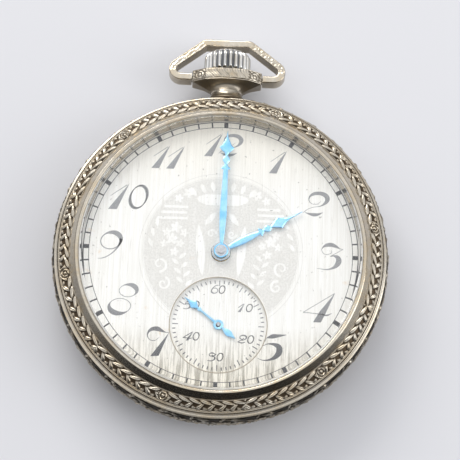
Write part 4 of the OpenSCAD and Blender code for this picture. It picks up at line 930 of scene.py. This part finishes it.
def outline_leaf(centre, clock, length, width, steps=7):
    """Outline of a pointed leaf, counter-clockwise, standing at a clock angle."""
    t = np.linspace(0, 1, steps)
    half = width / 2 * np.sin(math.pi * t) ** 0.8
    side = np.concatenate([half, -half[-2:0:-1]])
    along = np.concatenate([t, t[-2:0:-1]]) * length - length / 2
    a = math.radians(clock)
    return np.stack([centre[0] + side * math.cos(a) + along * math.sin(a),
                     centre[1] - side * math.sin(a) + along * math.cos(a)], axis=1)


def make_medallion(field_ink, pale):
    """A stippled grey field cut by the seconds opening, with a pale garden pattern over it."""
    film = 0.004
    field = Print(DIAL_FACE, film)
    cut = SUNK_R + 0.2
    hole = 1.5

    def strip(clock, inner, outer):
        a = np.radians(clock)
        rails = [(inner, 0), (outer, 0), (outer, field.thick), (inner, field.thick)]
        verts = np.stack([np.stack([r * np.sin(a), r * np.cos(a), np.full(len(a), field.z + h)], axis=1)
                          for r, h in rails], axis=1)
        n = len(a)
        faces = grid_faces(n, 4, close_rows=False) + [[0, 1, 2, 3], [4 * n - k for k in (1, 2, 3, 4)]]
        field.add(verts.reshape(-1, 3), faces)

    def opening(clock, far):
        """Where a line at a clock angle enters (-1) or leaves (1) the seconds opening."""
        reach = -SECONDS_Y * np.cos(np.radians(clock - 180))
        return reach + far * np.sqrt(np.maximum(reach ** 2 - SECONDS_Y ** 2 + cut ** 2, 0))

    def meets(radius):
        """Clock angle off six o'clock where a ring crosses the seconds opening."""
        return math.degrees(math.acos((SECONDS_Y ** 2 + radius ** 2 - cut ** 2) / (-2 * SECONDS_Y * radius)))

    touch = math.degrees(math.asin(cut / -SECONDS_Y))
    clock = np.linspace(180 - touch, 180 + touch, 90)
    strip(clock, np.full(90, hole), opening(clock, -1))
    clock = np.linspace(touch - 180, 180 - touch, 400)
    strip(clock, np.full(400, hole), np.full(400, FIELD_R))
    for side in (-1, 1):
        clock = 180 + side * np.linspace(meets(FIELD_R), touch, 30)
        strip(clock, opening(clock, 1), np.full(30, FIELD_R))
    open_angle = meets(MEDALLION_R)
    clock = np.linspace(open_angle - 180, 180 - open_angle, 300)
    for radius, width in ((MEDALLION_R, 0.09), (FIELD_R + 0.12, 0.07)):
        field.stroke([(*polar(radius, c), width) for c in clock])
    field.piece("medallion_field", field_ink, "case", "dial_silver")

    out = Print(DIAL_FACE + film, film)

    def put(outline):
        """A plate a little above the last one, so that no two faces coincide."""
        out.z = DIAL_FACE + film + (out.z - DIAL_FACE - film / 2) % (3.5 * film)
        out.plate(outline)

    def blossom(x, y, size):
        for petal in range(5):
            px, py = polar(size * 0.56, petal * 72 + 10 * x)
            put(outline_leaf((x + px, y + py), petal * 72 + 10 * x, size, size * 0.62))

    def scroll(x, y, size, hand, start):
        curl = []
        for t in np.linspace(0, 1, 30):
            a = math.radians(start) + hand * t * 2.4 * math.pi
            r = size * (1 - 0.86 * t)
            curl.append((x + r * math.sin(a), y + r * math.cos(a), 0.34 - 0.2 * t))
        out.stroke(smooth(curl, 0.1))

    for side in (-1, 1):
        put(outline_leaf((side * 2.75, 0.2), side * 6, 7.2, 1.15, 15))
        put(outline_leaf((side * 1.55, 4.6), side * -38, 2.3, 0.8))
        for y, low, high in ((6.1, 4.6, 7.8), (5.3, 4.8, 8.3), (4.5, 4.6, 8.7)):
            put([(side * low, y - side * 0.17), (side * high, y - side * 0.17),
                 (side * high, y + side * 0.17), (side * low, y + side * 0.17)])
        for x, y, size in ((4.6, 8.1, 0.75), (5.9, 7.3, 0.6), (6.1, 3.2, 0.8), (7.3, 2.5, 0.62),
                           (5.0, 2.5, 0.6), (6.6, 1.6, 0.8), (5.5, 1.0, 0.6), (7.6, 0.9, 0.55),
                           (6.2, -0.2, 0.62)):
            blossom(side * x, y, size)
        for k in range(7):
            x, y = 5.6 - 0.16 * k, -0.9 - 0.62 * k
            if k % 2:
                put(outline_leaf((side * (x + 0.55), y), side * 52, 1.25, 0.5))
            else:
                put(outline_leaf((side * (x - 0.5), y + 0.2), side * -48, 1.25, 0.5))
        scroll(side * 8.1, -2.0, 1.05, side, 180)
        scroll(side * 7.5, -4.6, 0.9, -side, 20)
        for k in range(3):
            place = polar(9.5, side * (66 + 9 * k))
            put(outline_leaf(place, side * (66 + 9 * k) + 62, 1.25, 0.5))
        scroll(side * 1.35, 2.5, 0.62, side, 90)
    for k in range(-3, 4):
        put(outline_leaf(polar(9.2, 8.5 * k), 11 * k, 1.5, 0.6))
    cartouche = [(3.2, 6.9), (3.5, 7.3), (3.2, 7.7), (2.2, 8.0), (-2.2, 8.0), (-3.2, 7.7), (-3.5, 7.3),
                 (-3.2, 6.9), (-2.2, 6.5), (2.2, 6.5)]
    put(cartouche)
    out.piece("medallion_pattern", pale, "case", "dial_silver")


# ---------------------------------------------------------------- hands
def make_hand(name, node, body, centre, angle, stations, z, hub, material, tail=()):
    """A blade with sloping edges along half-width stations, and a turned hub."""
    low, high = z
    cos, sin = math.cos(angle), -math.sin(angle)
    verts, faces = [], []

    def put(points):
        p = np.asarray(points, dtype=float)
        flat = np.column_stack([centre[0] + p[:, 0] * cos - p[:, 1] * sin,
                                centre[1] + p[:, 0] * sin + p[:, 1] * cos, p[:, 2]])
        start = sum(len(v) for v in verts)
        verts.append(flat)
        return start

    for blade in (stations, tail):
        if not blade:
            continue
        s = np.concatenate([np.linspace(a[0], b[0], max(2, int(abs(b[0] - a[0]) / 0.05)), endpoint=False)
                            for a, b in zip(blade[:-1], blade[1:])] + [[blade[-1][0]]])
        order = np.argsort([b[0] for b in blade])
        w = np.interp(s, np.array([b[0] for b in blade])[order], np.array([b[1] for b in blade])[order])
        kernel = np.array([1, 2, 1]) / 4
        w[1:-1] = np.convolve(w, kernel, "valid")
        rows = []
        for y, half in zip(s, w):
            slope = min(0.13, half * 0.55)
            rows += [(-half, y, low), (-half, y, low + 0.5 * (high - low)), (-half + slope, y, high - 0.02),
                     (0, y, high), (half - slope, y, high - 0.02), (half, y, low + 0.5 * (high - low)),
                     (half, y, low)]
        start = put(rows)
        grid = grid_faces(len(s), 7, close_rows=False)
        ends = [list(range(7)), [7 * len(s) - 1 - k for k in range(7)]]
        if s[-1] < s[0]:
            grid = [face[::-1] for face in grid]
            ends = [end[::-1] for end in ends]
        faces += [[i + start for i in face[::-1]] for face in grid + ends]
    outer, inner = hub
    ring = [(inner, low), (outer - 0.05, low), (outer, low + 0.05), (outer, high - 0.03),
            (outer - 0.06, high + 0.02), (inner + 0.06, high + 0.02), (inner, high)]
    count = 64
    a = np.arange(count) / count * TAU
    rows = [(r * math.cos(t), r * math.sin(t), h) for t in a for r, h in ring]
    start = put(rows)
    faces += [[i + start for i in face] for face in grid_faces(count, len(ring))]
    piece = add_object(name, np.vstack(verts), faces, material, body, (node,))
    piece.data.polygons.foreach_set("use_smooth", [False] * len(piece.data.polygons))
    return piece


def make_hands(material, steel):
    """Three blued hands, and the polished collar on the hour hand's hub."""
    minute = [(0.93, 0.2), (1.5, 0.25), (3.0, 0.38), (5.0, 0.47), (7.5, 0.42), (11.4, 0.29),
              (11.45, 0.63), (11.55, 0.63), (11.75, 0.42), (12.0, 0.24), (12.2, 0.19), (12.4, 0.32),
              (12.65, 0.46), (12.95, 0.46), (13.2, 0.32), (13.42, 0.14), (13.75, 0.30), (14.0, 0.58),
              (14.5, 0.98), (14.85, 0.62), (15.4, 0.38), (15.9, 0.16), (16.4, 0.09), (16.9, 0.03)]
    hour = [(1.16, 0.26), (1.8, 0.36), (3.1, 0.48), (4.4, 0.42), (5.6, 0.26), (5.8, 0.24), (5.85, 0.60),
            (5.97, 0.60), (6.15, 0.38), (6.35, 0.2), (6.5, 0.18), (6.7, 0.34), (6.9, 0.45), (7.15, 0.44),
            (7.4, 0.26), (7.55, 0.14), (7.85, 0.28), (8.3, 0.5), (8.85, 0.80), (9.2, 0.55), (9.7, 0.3),
            (10.4, 0.14), (11.4, 0.08), (12.3, 0.03)]
    second = [(0.4, 0.17), (1.6, 0.15), (2.9, 0.13), (3.1, 0.2), (3.25, 0.3), (3.4, 0.2), (3.55, 0.14),
              (3.9, 0.35), (4.25, 0.58), (4.6, 0.34), (5.0, 0.16), (5.8, 0.03)]
    tail = [(-0.4, 0.18), (-0.7, 0.14), (-1.0, 0.2), (-1.5, 0.4), (-1.9, 0.42), (-2.4, 0.2), (-2.9, 0.05)]
    make_hand("hour_hand_blade", "hour_hand", "hour", (0, 0), HOUR_ANGLE, hour, HOUR_Z,
              (1.28, 0.95), material)
    make_hand("minute_hand_blade", "minute_hand", "centre", (0, 0), MINUTE_ANGLE, minute, MINUTE_Z,
              (1.0, 0.55), material)
    collar = Print(HOUR_Z[1] + 0.015, 0.03)
    collar.ring((0, 0), 1.14, 0.24)
    collar.piece("hour_hand_collar", steel, "hour", "blued_steel")
    make_hand("seconds_hand_blade", "seconds_hand", "fourth", (0, SECONDS_Y), SECOND_ANGLE, second, SECOND_Z,
              (0.68, 0.36), material, tail)


# ---------------------------------------------------------------- materials of the carried nodes
def height_on_dial(tree, low, high):
    """0 at the lower y and 1 at the upper one, in millimetres."""
    place = tree.nodes.new("ShaderNodeTexCoord")
    split = tree.nodes.new("ShaderNodeSeparateXYZ")
    tree.links.new(place.outputs["Object"], split.inputs[0])
    span_y = tree.nodes.new("ShaderNodeMapRange")
    tree.links.new(split.outputs["Y"], span_y.inputs["Value"])
    span_y.inputs["From Min"].default_value = low * MM
    span_y.inputs["From Max"].default_value = high * MM
    return span_y.outputs[0]


def dial_silver(name="silvered_dial", centre=(0.93, 0.915, 0.885), rim=(0.86, 0.81, 0.71), stipple=None):
    """Silvered dial: fine vertical grain, tarnish streaks and specks, cream towards the ends."""
    material, tree, shader = new_material(name, 0.12, 0.45)
    grain = noise(tree, coords(tree, (5.5, 0.10, 1)), 1.0, 5, 0.65)
    streak = noise(tree, coords(tree, (3.4, 0.24, 1)), 1.0, 5, 0.65)
    broad = noise(tree, coords(tree, (0.3, 0.34, 1)), 1.0, 3, 0.5)
    specks = noise(tree, coords(tree), 2.7, 2, 0.5)
    top = height_on_dial(tree, 8, 18)
    bottom = height_on_dial(tree, -10, -17.5)
    base = mix(tree, top, centre, rim)
    base = mix(tree, bottom, base, rim)
    base = mix(tree, ramp(tree, grain, (0.38, 0.0), (0.72, 0.5)), base, tuple(c * 0.74 for c in rim))
    dirt = mix(tree, bottom, ramp(tree, streak, (0.60, 0.0), (0.74, 0.4)),
               ramp(tree, streak, (0.45, 0.0), (0.58, 0.95)))
    base = mix(tree, dirt, base, (0.30, 0.27, 0.21))
    base = mix(tree, ramp(tree, specks, (0.70, 0.0), (0.75, 0.75)), base, (0.24, 0.22, 0.19))
    rust = mix(tree, 1.0, ramp(tree, broad, (0.7, 0.0), (0.76, 0.5)),
               ramp(tree, streak, (0.4, 0.0), (0.6, 1.0)), "MULTIPLY")
    base = mix(tree, rust, base, (0.66, 0.42, 0.16))
    if stipple:
        dots = noise(tree, coords(tree), 4.5, 2, 0.6)
        base = mix(tree, ramp(tree, dots, (0.42, 0.0), (0.58, 1.0)), base, stipple)
    tree.links.new(base, shader.inputs["Base Color"])
    bump(tree, shader, grain, 0.2, 0.01)
    return material


def plain_metal(name, light, dark, rough, scale):
    """Polished or brushed metal with a fine grain and soft stains."""
    material, tree, shader = new_material(name, 1.0, rough)
    grain = noise(tree, coords(tree), scale, 5, 0.6)
    stain = noise(tree, coords(tree), 0.3, 3)
    tone = mix(tree, ramp(tree, grain, (0.3, 0.0), (0.7, 1.0)), light, dark)
    tone = mix(tree, ramp(tree, stain, (0.4, 0.0), (0.7, 0.35)), tone, tuple(c * 0.7 for c in dark))
    tree.links.new(tone, shader.inputs["Base Color"])
    tree.links.new(ramp(tree, grain, (0.3, rough * 0.8), (0.7, rough * 1.3)), shader.inputs["Roughness"])
    bump(tree, shader, grain, 0.12, 0.01)
    return material


def damascened():
    """Nickel plate with wavy damascening stripes."""
    material, tree, shader = new_material("damascened_nickel", 1.0, 0.28)
    wave = tree.nodes.new("ShaderNodeTexWave")
    wave.wave_type = "BANDS"
    wave.bands_direction = "DIAGONAL"
    wave.inputs["Scale"].default_value = 0.16
    wave.inputs["Distortion"].default_value = 1.6
    wave.inputs["Detail"].default_value = 1.0
    wave.inputs["Detail Scale"].default_value = 0.5
    tree.links.new(coords(tree), wave.inputs["Vector"])
    fine = noise(tree, coords(tree, (6, 6, 0.3)), 1.0, 4)
    tone = mix(tree, wave.outputs["Fac"], (0.80, 0.79, 0.76), (0.60, 0.60, 0.59))
    tone = mix(tree, ramp(tree, fine, (0.4, 0.0), (0.8, 0.3)), tone, (0.45, 0.44, 0.42))
    tree.links.new(tone, shader.inputs["Base Color"])
    tree.links.new(ramp(tree, wave.outputs["Fac"], (0.2, 0.2), (0.8, 0.38)), shader.inputs["Roughness"])
    bump(tree, shader, wave.outputs["Fac"], 0.3, 0.02)
    return material


def ruby():
    material, tree, shader = new_material("ruby_jewel", 0.0, 0.06)
    cloud = noise(tree, coords(tree), 1.8, 3)
    tree.links.new(ramp(tree, cloud, (0.3, (0.42, 0.01, 0.07)), (0.7, (0.75, 0.05, 0.17))),
                   shader.inputs["Base Color"])
    shader.inputs["Coat Weight"].default_value = 0.6
    return material


def blued():
    """Heat-blued steel: bright sky blue with violet at the edges of the heat."""
    material, tree, shader = new_material("blued_steel", 1.0, 0.3)
    heat = noise(tree, coords(tree), 0.5, 2)
    tone = ramp(tree, heat, (0.3, (0.20, 0.56, 0.90)), (0.6, (0.40, 0.74, 1.0)), (0.85, (0.30, 0.60, 0.95)))
    tree.links.new(tone, shader.inputs["Base Color"])
    bump(tree, shader, noise(tree, coords(tree), 5, 3), 0.1, 0.01)
    return material


def print_ink(name, colour, metallic, rough, low=None):
    """Printing ink with worn patches; low is its colour near six o'clock."""
    material, tree, shader = new_material(name, metallic, rough)
    wear = noise(tree, coords(tree), 4.0, 4)
    worn = ramp(tree, wear, (0.45, 0.0), (0.8, 0.6))
    tone = mix(tree, worn, colour, tuple(min(1, c * 1.4 + 0.03) for c in colour))
    if low:
        tone = mix(tree, height_on_dial(tree, -14, -6), low, tone)
    tree.links.new(tone, shader.inputs["Base Color"])
    bump(tree, shader, wear, 0.15, 0.006)
    return material


def dress_nodes(by_slot):
    """Every carried CAD node gets its slot's material and softened edges."""
    for row in record["subparts"]:
        obj = nodes.get(row["node"])
        if obj is None:
            continue
        material = by_slot[row["material_slot"]]
        if not obj.material_slots:
            obj.data.materials.append(material)
        for slot in obj.material_slots:
            slot.material = material
        edge = obj.modifiers.new("soft_edges", "BEVEL")
        edge.width = 0.03 * MM
        edge.segments = 1
        edge.limit_method = "ANGLE"
        edge.angle_limit = math.radians(40)
        edge.use_clamp_overlap = True


def main():
    make_camera()
    make_studio()
    make_floor()
    case = white_gold("engraved_white_gold", GOLD, GOLD_SHADE)
    # painted shade: near-black colour for the side band's recesses
    side = white_gold("side_white_gold", GOLD, (0.03, 0.025, 0.018))
    back = white_gold("back_white_gold", (0.64, 0.59, 0.50), GOLD_SHADE, (0.16, 0.45))
    # painted shade: the dark colour is used in the crown's flute valleys
    nickel = white_gold("crown_nickel", (0.74, 0.73, 0.70), (0.19, 0.195, 0.205), (0.12, 0.3))
    steel = plain_metal("polished_steel", (0.62, 0.63, 0.65), (0.46, 0.47, 0.50), 0.2, 3.0)
    blue = blued()
    ink = print_ink("grey_ink", (0.27, 0.27, 0.275), 0.3, 0.35, (0.085, 0.085, 0.09))
    black = print_ink("black_ink", (0.022, 0.022, 0.025), 0.0, 0.4)
    edge = print_ink("rim_brown", (0.36, 0.30, 0.22), 0.5, 0.35)
    field = dial_silver("medallion_grey", (0.84, 0.82, 0.785), (0.80, 0.76, 0.68), (0.70, 0.68, 0.64))
    pale = dial_silver("medallion_pale", (0.95, 0.935, 0.91), (0.88, 0.84, 0.75))
    make_case(case, side, back)
    make_crystal()
    make_pendant(case)
    make_crown(nickel)
    make_bow(case)
    make_numerals(ink)
    make_minute_track(black)
    make_seconds_print(ink, edge)
    make_medallion(field, pale)
    make_hands(blue, steel)
    dress_nodes({
        "case_gold": case, "crystal": steel, "crown_nickel": nickel, "plate_nickel": damascened(),
        "steel": steel, "blued_steel": blue,
        "gilt_brass": plain_metal("gilt_brass", (0.86, 0.66, 0.33), (0.66, 0.48, 0.22), 0.24, 2.0),
        "dial_silver": dial_silver(), "ruby": ruby()})


main()
